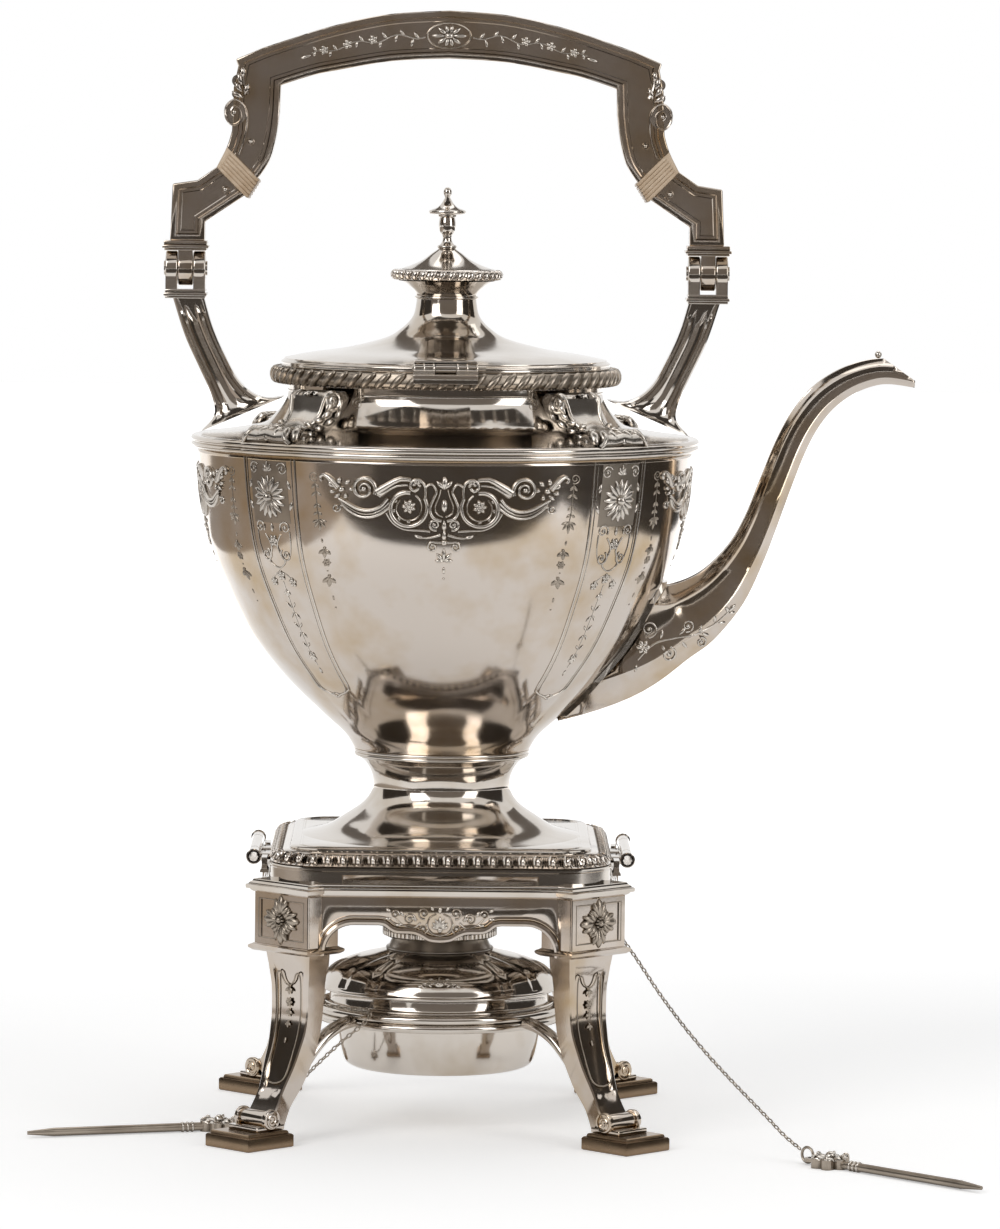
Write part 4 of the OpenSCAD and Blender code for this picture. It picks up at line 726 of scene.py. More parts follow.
def squarePlace(half, radius, s):
    # a place, turned outwards, at a distance along a rounded square
    straight = 2 * (half - radius)
    s += straight / 2
    n, rest = divmod(s, straight + radius * math.pi / 2)
    if rest < straight:
        p, a = (half, rest - straight / 2), 0
    else:
        a = math.degrees((rest - straight) / radius)
        p = spot((half - radius, half - radius), radius, a)
    return turned(90 * n) @ shift(*p, footSize["eggAt"]) @ turned(a)


def makeFootBorder():
    bm = bmesh.new()
    ringSlab(bm, roundedSquare(57.4, 20),
             [(93.5, -0.3), (94.1, 0.15), (94.6, -0.5), (95.4, -1.5), (96.6, -3.3),
              (97.3, -4.1), (97.6, -4.0), (98.0, -4.6)], roundedSquare(49.0, 11.6))
    half, corner, count = footSize["eggHalf"], footSize["eggCorner"], footSize["eggs"]
    step = (8 * (half - corner) + corner * math.tau) / count
    egg = gadroon(3.4, 2.3, 1.9, 0.0, 8, 6)
    cup = [(-1.35, -1.9), (-1.5, 0.2), (-1.1, 1.6), (0, 2.2), (1.1, 1.6), (1.5, 0.2), (1.35, -1.9)]
    drawTube(egg, [(0.1 + 0.8 * abs(y), y, z) for y, z in cup], 0.34, 5)
    for part, shifts in ((egg, (0,)), (gadroon(4.0, 0.62, 1.25, 0.0, 5, 4), (0.37, 0.5, 0.63))):
        joinAll(bm, part, [squarePlace(half, corner, step * (i + along)) @ turned(-42, "Y")
                           for i in range(count) for along in shifts])
    finishPiece(bm, "footBorder", "kettle", "borderSilver", ("foot_border",), 60)


def makeFootBand():
    bm = bmesh.new()
    ringSlab(bm, roundedSquare(footSize["bandHalf"], footSize["bandCorner"]),
             [(88.3, 0), (92.2, 0), (92.6, 0.25), (93.1, 0.25), (93.5, -0.1)],
             roundedSquare(56.0, 18.4))
    piece = finishPiece(bm, "footBand", "kettle", "polishedSilver", ("foot_band",), 30)
    cutter = joinAll(bmesh.new(), boxOf(footSize["vent"]), [Matrix(), turned(90)])
    cutAway(piece, moveAll(cutter, shift(0, 0, footSize["ventAt"])))


def cutAway(piece, cutter):
    # subtracts a shape from a finished piece
    moveAll(cutter, Matrix.Scale(mm, 4) @ shift(axisX, 0, 0))
    tool = addObject("cutter", cutter)
    cut = piece.modifiers.new("cut", "BOOLEAN")
    cut.operation, cut.object, cut.solver = "DIFFERENCE", tool, "EXACT"
    cut.use_self = True
    bpy.context.view_layer.update()
    done = bpy.data.meshes.new_from_object(
        piece.evaluated_get(bpy.context.evaluated_depsgraph_get()))
    piece.modifiers.clear()
    done.name = piece.data.name + "Cut"
    piece.data = done
    mesh = tool.data
    bpy.data.objects.remove(tool)
    bpy.data.meshes.remove(mesh)


makeFootPlate()
makeFootBorder()
makeFootBand()
print("kettle foot ready")


# Spout: an eight-sided swan neck with a ridge down each face

spoutSize = {
    "wall": 0.9,
    "stations": [  # centre x and z, slope, half height, half width
        (52.0, 163.2, -27, 26.3, 13.4), (66.6, 168.8, -6, 21.0, 14.3),
        (78.1, 173.0, 20, 13.6, 12.6), (85.4, 176.8, 40, 11.6, 10.2),
        (95.3, 185.2, 58, 8.9, 8.2), (103.1, 196.4, 68, 6.55, 6.9), (108.4, 207.6, 72, 5.55, 5.9),
        (113.4, 221.1, 71, 5.3, 5.2), (118.3, 233.7, 69, 5.2, 4.9), (123.2, 243.1, 61, 5.1, 4.6),
        (129.2, 250.6, 47, 5.0, 4.4), (136.8, 256.1, 30, 4.7, 4.2), (145.3, 259.3, 14, 4.4, 4.0),
        (152.7, 259.8, -3, 4.1, 3.9), (163.6, 257.6, -14, 3.5, 3.4)],
    "section": [  # an octagon with a thread along each corner: up, across
        (1.0, 0.0), (0.98, 0.30), (1.03, 0.42), (0.90, 0.52), (0.58, 0.86), (0.52, 1.02),
        (0.40, 0.96), (0.0, 0.97), (-0.40, 0.96), (-0.52, 1.02), (-0.58, 0.86), (-0.90, 0.52),
        (-1.03, 0.42), (-0.98, 0.30), (-1.0, 0.0)],
    "mouth": (((148.5, 0, 265.3), (8.4, 0, 12.0)), ((160.5, 0, 250), (1, 0, 0))),
    "sunk": 3.25,  # how deep under the body's surface its root still goes
}


def makeSpout():
    bm = bmesh.new()
    half = spoutSize["section"]
    section = half + [(u, -w) for u, w in half[-2:0:-1]]
    rings = []
    for x, z, slope, high, wide in smoothPath(spoutSize["stations"], 5):
        rings.append([(*spot((x, z), high * u, slope + 90), wide * w) for u, w in section])
    skinRings(bm, [[(x, y, z) for x, z, y in ring] for ring in rings], ends=False)
    # the mouth is cut along a slanting line
    for place, normal in spoutSize["mouth"]:
        bmesh.ops.bisect_plane(bm, geom=bm.verts[:] + bm.edges[:] + bm.faces[:], plane_co=place,
                               plane_no=normal, clear_outer=True)
    inside = [v for v in bm.verts
              if math.hypot(v.co.x, v.co.y) < bodyRadius(v.co.z) - spoutSize["sunk"]]
    bmesh.ops.delete(bm, geom=inside, context="VERTS")
    tidy(bm)
    addWall(finishPiece(bm, "spoutNeck", "kettle", "bodySilver", ("spout",), 28),
            spoutSize["wall"])
    lip = joinAll(bmesh.new(), ballOf(1.25, 12, 8), [shift(148.0, 0, 265.6)])
    finishPiece(lip, "spoutBead", "kettle", "polishedSilver")


makeSpout()
print("spout ready")


# Stand: moulded top, aprons with arches and a drop, posts and scrolled legs

standSize = {
    "apron": 58, "apronWall": 2.4, "post": 12.95, "postFace": 75.57, "postIn": 61.2,
    "postFoot": 65.3, "flue": 47, "dropZ": 74.7, "drop": 5.8, "archR": 9.8, "endX": 38.68,
    "pad": 89.2, "padHalf": 10.45,
}


def makeTopFrame():
    # the aprons' square with the posts' faces across its corners
    bm = bmesh.new()
    a, w, u = standSize["apron"], standSize["post"], standSize["postFace"]
    c = math.sqrt(0.5)
    corner = [(a, a - w * math.sqrt(2)), ((u + w) * c, (u - w) * c), ((u - w) * c, (u + w) * c),
              (a - w * math.sqrt(2), a)]
    plan = [(turned(90 * i) @ Vector((*p, 0))).xy for i in range(4) for p in corner]
    hole = [p * standSize["flue"] / max(abs(p.x), abs(p.y)) for p in plan]
    ringSlab(bm, plan, [(84.0, 0.3), (84.5, 1.0), (84.95, 1.15), (85.05, 2.15), (86.2, 2.25),
                        (86.5, 1.9), (86.7, 1.45), (87.2, 1.2), (87.6, 0.55), (88.1, 0.35),
                        (88.3, 0.1)], hole)
    finishPiece(bm, "standTop", "stand", "polishedSilver", ("top_frame",), 35)


def apronEdge():
    # the lower edge of an apron: a drop in the middle, and an arch towards each post
    z, drop, r, end = (standSize[k] for k in ("dropZ", "drop", "archR", "endX"))
    half = [tuple(p) for p in smoothPath(
        [(x, z - drop * share) for x, share in ((0, 1), (3.6, 0.93), (6.6, 0.66), (9.2, 0.51),
                                                (14.4, 0.47), (16.8, 0.3), (18.6, 0.07),
                                                (20.6, 0))], 4)]
    half += arc((end - r, z - r), r, 90, 0, 12) + [(end, 64.05)]
    return [(-x, z) for x, z in reversed(half)] + half[1:]


def makeApron(side, angle):
    bm = bmesh.new()
    edge = apronEdge()
    wall, out = standSize["apronWall"], standSize["apron"]
    cutOut(bm, [(-40.6, 84), (-40.6, 64.05)] + edge + [(40.6, 64.05), (40.6, 84)], wall,
           shift(0, -out, 0) @ turned(90, "X") @ shift(0, 0, -wall), 0.25, 2)
    # rolled moulding along the edge, and a finer thread inside it
    line = [Vector(p) for p in edge]
    for lift, r in ((0.9, 1.15), (2.7, 0.42)):
        path = []
        for i, p in enumerate(line):
            t = (line[min(i + 1, len(line) - 1)] - line[max(i - 1, 0)]).normalized()
            path.append((p.x - t.y * lift, -out, p.y + t.x * lift))
        drawTube(bm, path, r, 8)
    finishPiece(moveAll(bm, turned(angle)), "apron" + side, "stand", "bodySilver",
                (side.lower() + "_apron",), 35)


legSize = {
    "front": [(72.97, 65.3), (71.9, 56.9), (71.5, 49.8), (71.6, 42.0), (73.2, 34.3), (76.8, 25.0),
              (80.8, 16.4), (84.2, 10.6)],
    "back": [(62.5, 65.3), (62.9, 56.9), (63.5, 46.8), (65.1, 36.0), (68.7, 25.9), (72.4, 18.1),
             (76.7, 11.0), (79.4, 5.7)],
    "edge": [(5.7, 6.7), (15.1, 6.0), (25.3, 7.7), (34.9, 8.7), (43.0, 8.85), (52.2, 8.95),
             (58.1, 9.7), (65.3, 10.7)],
    "rings": 30, "sink": 0.9, "rim": 2.3, "ease": 0.5,
    "scroll": {"x": 86.0, "z": 9.3, "ease": 0.45, "coilAt": 7.65, "outer": 3.0, "inner": 0.5,
               "start": 2.2, "turn": 0.32, "steps": 34, "wire": (0.5, 0.3),
               "rolls": ((-6.9, 6.9, 2.7), (-7.6, -5.7, 3.5), (5.7, 7.6, 3.5))},
}


def addScroll(bm, s):
    # a barrel along Y with a volute at each end, and a coil on each volute's face
    for y0, y1, r in s["rolls"]:
        joinAll(bm, rollOf(r, y1 - y0, s["ease"]),
                [shift(s["x"], (y0 + y1) / 2, s["z"]) @ turned(90, "X")])
    for side in (-1, 1):
        path, radii = [], []
        for i in range(s["steps"] + 1):
            t = i / s["steps"]
            r, a = s["outer"] + (s["inner"] - s["outer"]) * t, s["start"] + s["turn"] * i
            path.append((s["x"] + r * math.cos(a), side * s["coilAt"], s["z"] + r * math.sin(a)))
            radii.append(s["wire"][0] + (s["wire"][1] - s["wire"][0]) * t)
        drawTube(bm, path, radii, 6)


def edgeAt(z):
    # half the leg's width at a height, eased between its stations
    for a, b in zip(legSize["edge"], legSize["edge"][1:]):
        if a[0] <= z <= b[0]:
            t = (z - a[0]) / (b[0] - a[0])
            t = t * t * (3 - 2 * t) * 0.5 + t * 0.5
            return a[1] + (b[1] - a[1]) * t
    return level(legSize["edge"], z)


def makeLeg(node, angle):
    bm = bmesh.new()
    front, back = smoothPath(legSize["front"], 4), smoothPath(legSize["back"], 4)
    rings = []
    # cross-sections down the leg: raised rims at the sides and a sunk face between them
    for i in range(legSize["rings"] + 1):
        t = i / legSize["rings"]
        f, b = at(front, t), at(back, t)
        w = edgeAt((f.y + b.y) / 2)
        deep, out = (f - b).length, (f - b).normalized()
        sink = legSize["sink"] * min(1, max(0, (t - 0.08) / 0.05)) * min(
            1, max(0, (0.86 - t) / 0.05))
        rim, ease = legSize["rim"], legSize["ease"]
        half = [(0, w - 0.5), (0.4, w), (deep - ease, w), (deep, w - ease), (deep, w - rim),
                (deep - sink, w - rim - 0.45)]
        profile = [(d, -y) for d, y in half] + [(deep - sink * 0.75, 0)] + half[::-1]
        rings.append([(b.x + out.x * d, y, b.y + out.y * d) for d, y in profile])
    skinRings(bm, rings)
    # scroll foot, on a small plinth
    addScroll(bm, legSize["scroll"])
    cutOut(bm, rectangle(79.6, 92.6, -7.0, 7.0), 1.7, shift(0, 0, 5.6), 0.4, 2)
    # the post above the leg, with its sunk panel and the moulding under it
    w, u, back = standSize["post"], standSize["postFace"], standSize["postIn"]
    cutOut(bm, rectangle(back, u - 0.4, -w, w), 18.7, shift(0, 0, standSize["postFoot"]), 0.2, 1)
    outer, inner = rectangle(-w, w, 66.4, 84), rectangle(-w + 3.4, w - 3.4, 69.0, 81.6)
    rings = [[bm.verts.new((out, *p)) for p in offsetOutline(line, grow)]
             for line, out, grow in ((outer, u - 1.0, 0), (outer, u - 0.2, 0), (outer, u, -0.25),
                                     (inner, u, 0.3), (inner, u - 0.2, 0.05), (inner, u - 0.5, 0))]
    for a, b in zip(rings, rings[1:] + rings[:1]):
        for k in range(4):
            bm.faces.new((a[k], a[(k + 1) % 4], b[(k + 1) % 4], b[k]))
    joinAll(bm, slabOf(rectangle(back, u, -w, w),
                       [(64.05, 0.2), (64.4, 0.75), (64.9, 1.45), (65.6, 1.6), (66.0, 1.2),
                        (66.3, 0.5), (66.6, 0.1)]))
    faceOut(moveAll(bm, turned(angle)))
    words = node.split("_")
    finishPiece(bm, "leg" + words[1].title() + words[2].title(), "stand", "bodySilver", (node,),
                30)


diagonals = (-45, 45, 135, 225)
straights = (-90, 0, 90, 180)
makeTopFrame()
for i, side in enumerate(("Front", "Right", "Back", "Left")):
    makeApron(side, 90 * i)
for i, node in enumerate(("leg_back_right", "leg_back_left", "leg_front_left",
                          "leg_front_right")):
    makeLeg(node, 45 + 90 * i)
h = standSize["padHalf"]
pad = moveAll(slabOf(rectangle(-h, h, -h, h),
                     [(0, -0.4), (0.3, 0), (3.9, 0), (4.4, -0.35), (4.7, -1.2), (5.3, -1.3),
                      (5.6, -1.7)]), shift(standSize["pad"], 0, 0))
finishPiece(joinAll(bmesh.new(), pad, map(turned, diagonals)), "footPads", "stand", "footSilver",
            ("foot_pads",), 35)
print("stand ready")


# Lamp

lampSide = smoothPath([(30.3, 19.5), (32.1, 20.7), (33.4, 24.0), (34.5, 30.5), (35.3, 40.9)], 5)
spunPiece("lampBowl", "lamp", "polishedSilver",
          [[(0, 20.1), (26.3, 20.1)], [(27.3, 19.5)], lampSide, [(35.3, 41.3), (39.2, 41.3)],
           arc((39.2, 41.75), 0.45, -80, 80, 5), [(37.9, 42.3)], [(37.7, 42.6), (37.7, 46.2)],
           [(36.5, 46.2), (36.5, 43.5), (34.1, 41.9)],
           [(34.1, 40.9), (33.3, 30.5), (32.2, 24.0), (29.3, 21.3)], [(0, 21.3)]],
          144, ("lamp_bowl",), sharp=35)


def creased(v):
    # four broad panels with narrow ones between, met in fine creases
    r = math.hypot(v.co.x, v.co.y)
    if r < 19 or r > 40.2 or v.co.z < 47.5:
        return
    a = abs((math.degrees(math.atan2(v.co.y, v.co.x)) + 45) % 90 - 45)
    near = max(0, 1 - abs(a - 35) / 2.6)
    k = (r - 0.5 * near) / r
    v.co.x *= k
    v.co.y *= k
    v.co.z -= 0.35 * near


coverTop = smoothPath([(40.3, 47.9), (39.7, 49.7), (38.0, 52.4), (34.2, 55.0), (27.7, 57.3),
                       (21.9, 58.7), (18.2, 59.6)], 6)
spunPiece("lampCover", "lamp", "polishedSilver",
          [[(36.5, 46.2), (40.2, 46.2)], arc((40.3, 46.8), 0.6, -80, 70, 5), coverTop,
           [(10, 59.6)], [(10, 58.4), (17.6, 58.4)],
           [(21.6, 57.5), (27.3, 56.1), (33.5, 53.9), (36.3, 51.0), (36.5, 48.5)],
           [(36.5, 46.2)]],
          144, ("lamp_cover",), sharp=35, shape=creased)
spunPiece("lampNeck", "lamp", "dullSilver",
          [[(10, 59.6), (18.2, 59.6)], arc((18.1, 60.0), 0.4, -70, 80, 4),
           [(17.6, 60.4), (16.0, 64.0)], [(10, 64.0)], [(10, 59.6)]], 120, ("lamp_neck",))


burner = spinProfile([[(4.8, 59.6), (9.65, 59.6)], [(9.65, 64.0), (18.6, 64.0)],
                      [(19.1, 64.5), (19.1, 67.3)], [(18.6, 67.9), (9, 68.3)],
                      [(4.8, 68.3)], [(4.8, 59.6)]], 120)
joinAll(burner, boxOf((1.1, 1.15, 2.9), 0.25), ringOf(64, 19.15, 65.9))
finishPiece(burner, "burnerCap", "burner", "polishedSilver", ("burner_cap",), 35)
spunPiece("lampRing", "stand", "polishedSilver",
          [[(36.0, 35.5)], arc((41.55, 36.95), 1.45, -90, 88, 8), [(41.25, 38.4)],
           arc((41.55, 39.85), 1.45, -88, 90, 8), [(36.0, 41.3)], [(36.0, 35.5)]],
          144, ("lamp_ring",), sharp=40)


def makeBrackets():
    path = smoothPath([(42.6, 37.9), (49, 36.6), (55.5, 33.6), (61, 29.0), (66.5, 23.4),
                       (72.5, 18.6)], 5)
    one = bmesh.new()
    drawTube(one, [(p.x, 0, p.y) for p in path],
             [2.1 - 0.3 * i / (len(path) - 1) for i in range(len(path))], 12, 0.95)
    for v in one.verts:
        v.co.y *= 1.45
    drawTube(one, [(p.x, 0, p.y + 1.7) for p in path[:-2]], 0.7, 8)
    finishPiece(joinAll(bmesh.new(), one, map(turned, diagonals)), "lampBrackets", "stand",
                "polishedSilver", ("lamp_brackets",), 50)


makeBrackets()
spunPiece("wickTube", "burner", "dullSilver",
          [[(4.0, 28.5), (4.8, 28.5)], [(4.8, 70.0)], arc((4.4, 70.1), 0.4, 0, 180, 6),
           [(4.0, 28.5)]], 48, ("wick_tube",))
spunPiece("wickEnd", "burner", "cotton",
          [[(0, 24.5), (4.0, 24.5)], smoothPath([(4.0, 69.5), (4.15, 71.0), (3.6, 71.9),
                                                 (0, 72.1)], 3)], 40, ("wick",))
print("lamp ready")


# Bail handle: two fixed arms, knuckles, elbows, heat stops and the arched grip

bailSize = {
    "knuckleX": 89.2, "knuckleZ": 292.6, "knuckleR": 5.88, "half": 5.5,
    "stopAt": (73.6, 322.0), "stopWide": 7.3, "ribs": 6,
}
bailOut = [(94.5, 302.1), (93.7, 321.4), (85.3, 322.7),
           *smoothPath([(78.8, 327.2), (75.4, 334.0), (73.7, 339.5)], 4),
           *smoothPath([(73.6, 341.5), (73.3, 349.0), (73.2, 354.2)], 3),
           (71.7, 361.6), (72.5, 363.9),
           *smoothPath([(63.3, 367.9), (51.2, 372.0), (38.1, 376.0), (19.5, 379.9),
                        (0, 381.2)], 5)]
bailIn = [*smoothPath([(0, 364.9), (19.5, 363.8), (38.1, 360.5), (46, 358.8), (57.2, 355.2)], 5),
          *smoothPath([(57.5, 346.3), (58.5, 338.4), (60.6, 330.0), (64.1, 324.3)], 4),
          *smoothPath([(68.3, 318.2), (74.8, 313.8), (82.7, 308.5)], 4), (82.7, 302.1)]


def bailPlate(outline, half, bevel):
    bm = bmesh.new()
    cutOut(bm, outline, 2 * half, shift(0, half, 0) @ turned(90, "X"), bevel, 3)
    return bm


def sinkFace(bm, side, rim=1.5, depth=0.7):
    # the flat face on one side gets a raised border: inset, then pushed in
    faces = [f for f in bm.faces if f.normal.y * side > 0.99 and f.calc_area() > 60]
    for width, drop in ((rim, 0), (0.45, depth), (0.9, 0), (0.3, depth * 0.35)):
        bmesh.ops.inset_region(bm, faces=faces, thickness=width, depth=0,
                               use_even_offset=True, use_boundary=True)
        if drop:
            bmesh.ops.translate(bm, vec=(0, -side * drop, 0),
                                verts=list({v for f in faces for v in f.verts}))


def splitAt(bm, distance, keepAbove, side=1):
    # keeps what lies on one side of a plane across the bail, above or below the heat stop
    n = Vector((-side * math.sqrt(0.5), 0, math.sqrt(0.5)))
    p = Vector((side * bailSize["stopAt"][0], 0, bailSize["stopAt"][1])) + n * distance
    made = bmesh.ops.bisect_plane(bm, geom=bm.verts[:] + bm.edges[:] + bm.faces[:], plane_co=p,
                                  plane_no=n, clear_inner=keepAbove, clear_outer=not keepAbove)
    edges = [g for g in made["geom_cut"] if isinstance(g, bmesh.types.BMEdge)]
    bmesh.ops.holes_fill(bm, edges=edges, sides=0)


def addKnuckle(bm, meet, leaves, deep, mouldings):
    # the moulded collar of a hinge, and its leaves: round, with a web to the collar
    x, z, r = (bailSize[k] for k in ("knuckleX", "knuckleZ", "knuckleR"))
    for z0, z1, grow in mouldings:
        wide, far = 7.2 + grow, deep + grow
        cutOut(bm, rectangle(x - wide, x + wide, -far, far), z1 - z0, shift(0, 0, z0), 0.3, 2)
    for x0, x1 in leaves:
        joinAll(bm, rollOf(r, x1 - x0, 0.5, 48), [shift(x + (x0 + x1) / 2, 0, z)
                                                  @ turned(90, "Y")])
        cutOut(bm, rectangle(x + x0 + 0.05, x + x1 - 0.05, -5.2, 5.2), abs(meet - z),
               shift(0, 0, min(z, meet)), 0.2, 1)


def makeBail():
    flip = [[(-x, z) for x, z in reversed(line)] for line in (bailOut, bailIn)]
    grip = bailPlate(bailOut + flip[0][1:] + flip[1] + bailIn[1:], bailSize["half"], 0.55)
    for side in (-1, 1):
        sinkFace(grip, side)
    faceOut(grip)
    # elbow: everything on the knuckle's side of the heat stop
    elbow = grip.copy()
    splitAt(elbow, 0, False)
    splitAt(grip, bailSize["stopWide"], True)
    splitAt(grip, bailSize["stopWide"], True, -1)
    finishPiece(grip, "bailGrip", "bail", "bodySilver", ("bail_grip",), 30)
    addKnuckle(elbow, 298.9, [(-2.5, 2.5)], 5.9,
               ((298.7, 299.5, 0.0), (299.5, 300.5, 0.7), (300.5, 302.1, 0.15)))
    for bm, name in ((mirrored(elbow), "Left"), (elbow, "Right")):
        finishPiece(bm, "bailElbow" + name, "bail", "bodySilver",
                    ("bail_elbow_" + name.lower(),), 30)


def makeHeatStops():
    bm = bmesh.new()
    plate = bailPlate(bailOut + bailIn, bailSize["half"] - 0.1, 0.9)
    splitAt(plate, bailSize["stopWide"] - 0.02, False)
    splitAt(plate, 0.02, True)
    # wrapped look: rounded ribs run across the stop
    (cx, cz), ribs, c = bailSize["stopAt"], bailSize["ribs"], math.sqrt(0.5)
    for i in range(ribs):
        rise = bailSize["stopWide"] * (i + 0.5) / ribs
        # the ends of the section here, from the outline
        inner, outer = -6.9 + 0.28 * i, 5.9 + 0.25 * i
        mid = (inner + outer) / 2
        loop = [(cx - c * rise + c * a, y, cz + c * rise + c * a)
                for a, y in ((inner, -5.2), (inner - 0.3, 0), (inner, 5.2), (mid, 5.75),
                             (outer, 5.2), (outer + 0.3, 0), (outer, -5.2), (mid, -5.75))]
        ring = smoothPath(loop + [loop[0]], 3)[:-1]
        drawTube(bm, ring + ring[:2], 0.68, 8, close=False)
    faceOut(bothSides(joinAll(bm, plate)))
    finishPiece(bm, "heatStops", "bail", "bone", ("heat_stops",), 50)


armSize = {
    "out": smoothPath([(93.3, 282.4), (89.2, 269.8), (84.0, 258.5), (79.9, 249.5), (78.9, 242.7),
                       (83.4, 237.2)], 6),
    "in": smoothPath([(82.7, 282.4), (79.9, 272.9), (75.8, 263.6), (70.3, 254.0), (62.7, 248.9),
                      (55.2, 249.3)], 6),
    "rings": 26,
    "flutes": [(0.0, 0.6, 0), (0.05, 0, 0), (0.12, 0, 0), (0.18, 0, 1), (0.26, 0, 1),
               (0.33, 0.1, 0), (0.42, 0, 1.1), (0.58, 0, 1.1), (0.67, 0.1, 0), (0.74, 0, 1),
               (0.82, 0, 1), (0.88, 0, 0), (0.95, 0, 0), (1.0, 0.6, 0)],
}


def makeArms():
    # fluted front and back: a raised thread each side and a hollow between
    bm = bmesh.new()
    rings = []
    for i in range(armSize["rings"] + 1):
        t = i / armSize["rings"]
        o, n = at(armSize["out"], t), at(armSize["in"], t)
        spread = 4.7 + 0.3 * t + 6.0 * max(0, t - 0.5) ** 1.6 * 2.2
        g = 0.75 * min(1, t * 8) * min(1, (1 - t) * 5)
        pts = [(*o.lerp(n, share), spread - less - g * deep)
               for share, less, deep in armSize["flutes"]]
        rings.append([(x, y, z) for x, z, y in pts] + [(x, -y, z) for x, z, y in reversed(pts)])
    skinRings(bm, rings)
    addKnuckle(bm, 285.3, [(-6.8, -2.7), (2.7, 6.8)], 6.0,
               ((282.4, 283.2, -0.3), (283.2, 284.3, 0.2), (284.3, 285.5, -0.3)))
    faceOut(bm)
    for part, name in ((mirrored(bm), "Left"), (bm, "Right")):
        finishPiece(part, "bailArm" + name, "kettle", "polishedSilver",
                    ("bail_arm_" + name.lower(),), 32)


makeBail()
makeHeatStops()
makeArms()
print("bail ready")


# Hinge tubes, lid hinge and the shoulder's consoles

tubeSize = {"x": 63.5, "z": 94.0, "outer": 2.25, "bore": 1.6, "rim": 2.6}


def addTube(bm, x, y0, y1, outer, bore):
    path = [[(bore, y0), (outer - 0.25, y0)], [(outer, y0 + 0.25), (outer, y1 - 0.25)],
            [(outer - 0.25, y1), (bore, y1)], [(bore, y0)]]
    joinAll(bm, spinProfile(path, 40), [shift(x, 0, tubeSize["z"]) @ turned(-90, "X")])


def makeTubes():
    stand, kettle = bmesh.new(), bmesh.new()
    outer, bore = tubeSize["outer"], tubeSize["bore"]
    for side in (-1, 1):
        x = tubeSize["x"] * side
        for end in (-1, 1):
            addTube(stand, x, *sorted((17.9 * end, 30.0 * end)), outer, bore)
            addTube(stand, x, *sorted((29.3 * end, 30.0 * end)), tubeSize["rim"], bore + 0.02)
            saddle = rectangle(*sorted((58.9 * side, 61.0 * side)),
                               *sorted((18.2 * end, 26.6 * end)))
            joinAll(stand, slabOf(saddle, [(88.3, 0.4), (89.0, 0.35), (89.6, -0.1), (91.2, -0.2),
                                           (93.4, -0.1)]))
        addTube(kettle, x, -17.7, 17.7, outer, bore)
        joinAll(kettle, boxOf((5.4, 11.5, 2.0), 0.4), [shift(60.2 * side, mid, 92.2)
                                                       for mid in (-8.6, 8.6)])
    finishPiece(stand, "standTubes", "stand", "polishedSilver", ("stand_tubes",), 40)
    finishPiece(kettle, "kettleTubes", "kettle", "polishedSilver", ("kettle_tubes",), 40)


consoleSize = {
    "top": smoothPath([(84.2, 236.4), (85.0, 238.2), (83.4, 240.4), (79.6, 241.2),
                       (74.8, 240.9), (70.0, 242.2), (66.8, 245.4), (65.6, 249.0),
                       (64.8, 251.6)], 5),
    "foot": smoothPath([(84.0, 235.9), (78.7, 236.2), (69.7, 237.4), (61.9, 239.0),
                        (57.0, 242.4), (54.4, 247.0), (53.6, 250.6), (56.0, 253.0)], 5),
    "rings": 24,
    "scroll": {"x": 61.6, "z": 249.7, "ease": 0.6, "coilAt": 8.65, "outer": 3.2, "inner": 0.5,
               "start": 0.4, "turn": 0.33, "steps": 36, "wire": (0.6, 0.35),
               "rolls": ((-7.2, 7.2, 3.1), (-8.6, -6.2, 3.7), (6.2, 8.6, 3.7))},
}


def consoleWide(t):
    return 11.4 - 5.6 * min(1, t * 2.2) + 2.6 * max(0, t - 0.45) * 1.8


def makeConsoles():
    one = bmesh.new()
    rings = []
    for i in range(consoleSize["rings"] + 1):
        t = i / consoleSize["rings"]
        o, u = at(consoleSize["top"], t), at(consoleSize["foot"], t)
        wide, (sx, sz) = consoleWide(t), u.lerp(o, 0.6)
        half = [(u.x, wide, u.y), (sx, wide, sz), (o.x, wide - 0.9, o.y),
                (o.x, wide * 0.45, o.y - 0.25)]
        rings.append([(x, -y, z) for x, y, z in half] + [(o.x, 0, o.y + 0.5)] + half[::-1])
    skinRings(one, rings)
    addScroll(one, consoleSize["scroll"])  # at the neck
    # seven lobes round the foot
    joinAll(one, gadroon(6.4, 3.5, 2.0, 0.0, 10, 7),
            [shift(82.6 - 0.22 * i * i, i * 3.5, 239.0) @ turned(i * 7) @ turned(-42, "Y")
             for i in range(-3, 4)])
    bm = joinAll(bmesh.new(), one, map(turned, diagonals))
    faceOut(bm)
    finishPiece(bm, "shoulderConsoles", "kettle", "chasedSilver", ("corner_consoles",), 42)


makeTubes()
makeConsoles()
for node in ("spout_collar", "bail_pins", "lid_hinge_seat", "lid_hinge_pin", "lid_bezel",
             "lid_hinge_leaf", "chain_eyes", "left_pin", "right_pin"):
    finish = "engravedSilver" if node in ("left_pin", "right_pin") else "polishedSilver"
    mesh = frame["nodes"][node].data
    mesh.materials.clear()
    mesh.materials.append(finishes[finish])
print("carried nodes dressed")


# Relief ornament: drawn flat, across and up in millimetres, then laid on a surface

def surfaceOf(*names):
    # the outer skins of finished pieces, in millimetres about the kettle's axis
    bm = bmesh.new()
    for name in names:
        bm.from_mesh(bpy.data.objects[name].data)
    tree = BVHTree.FromBMesh(moveAll(bm, shift(-axisX, 0, 0) @ Matrix.Scale(1 / mm, 4)))
    bm.free()
    return tree


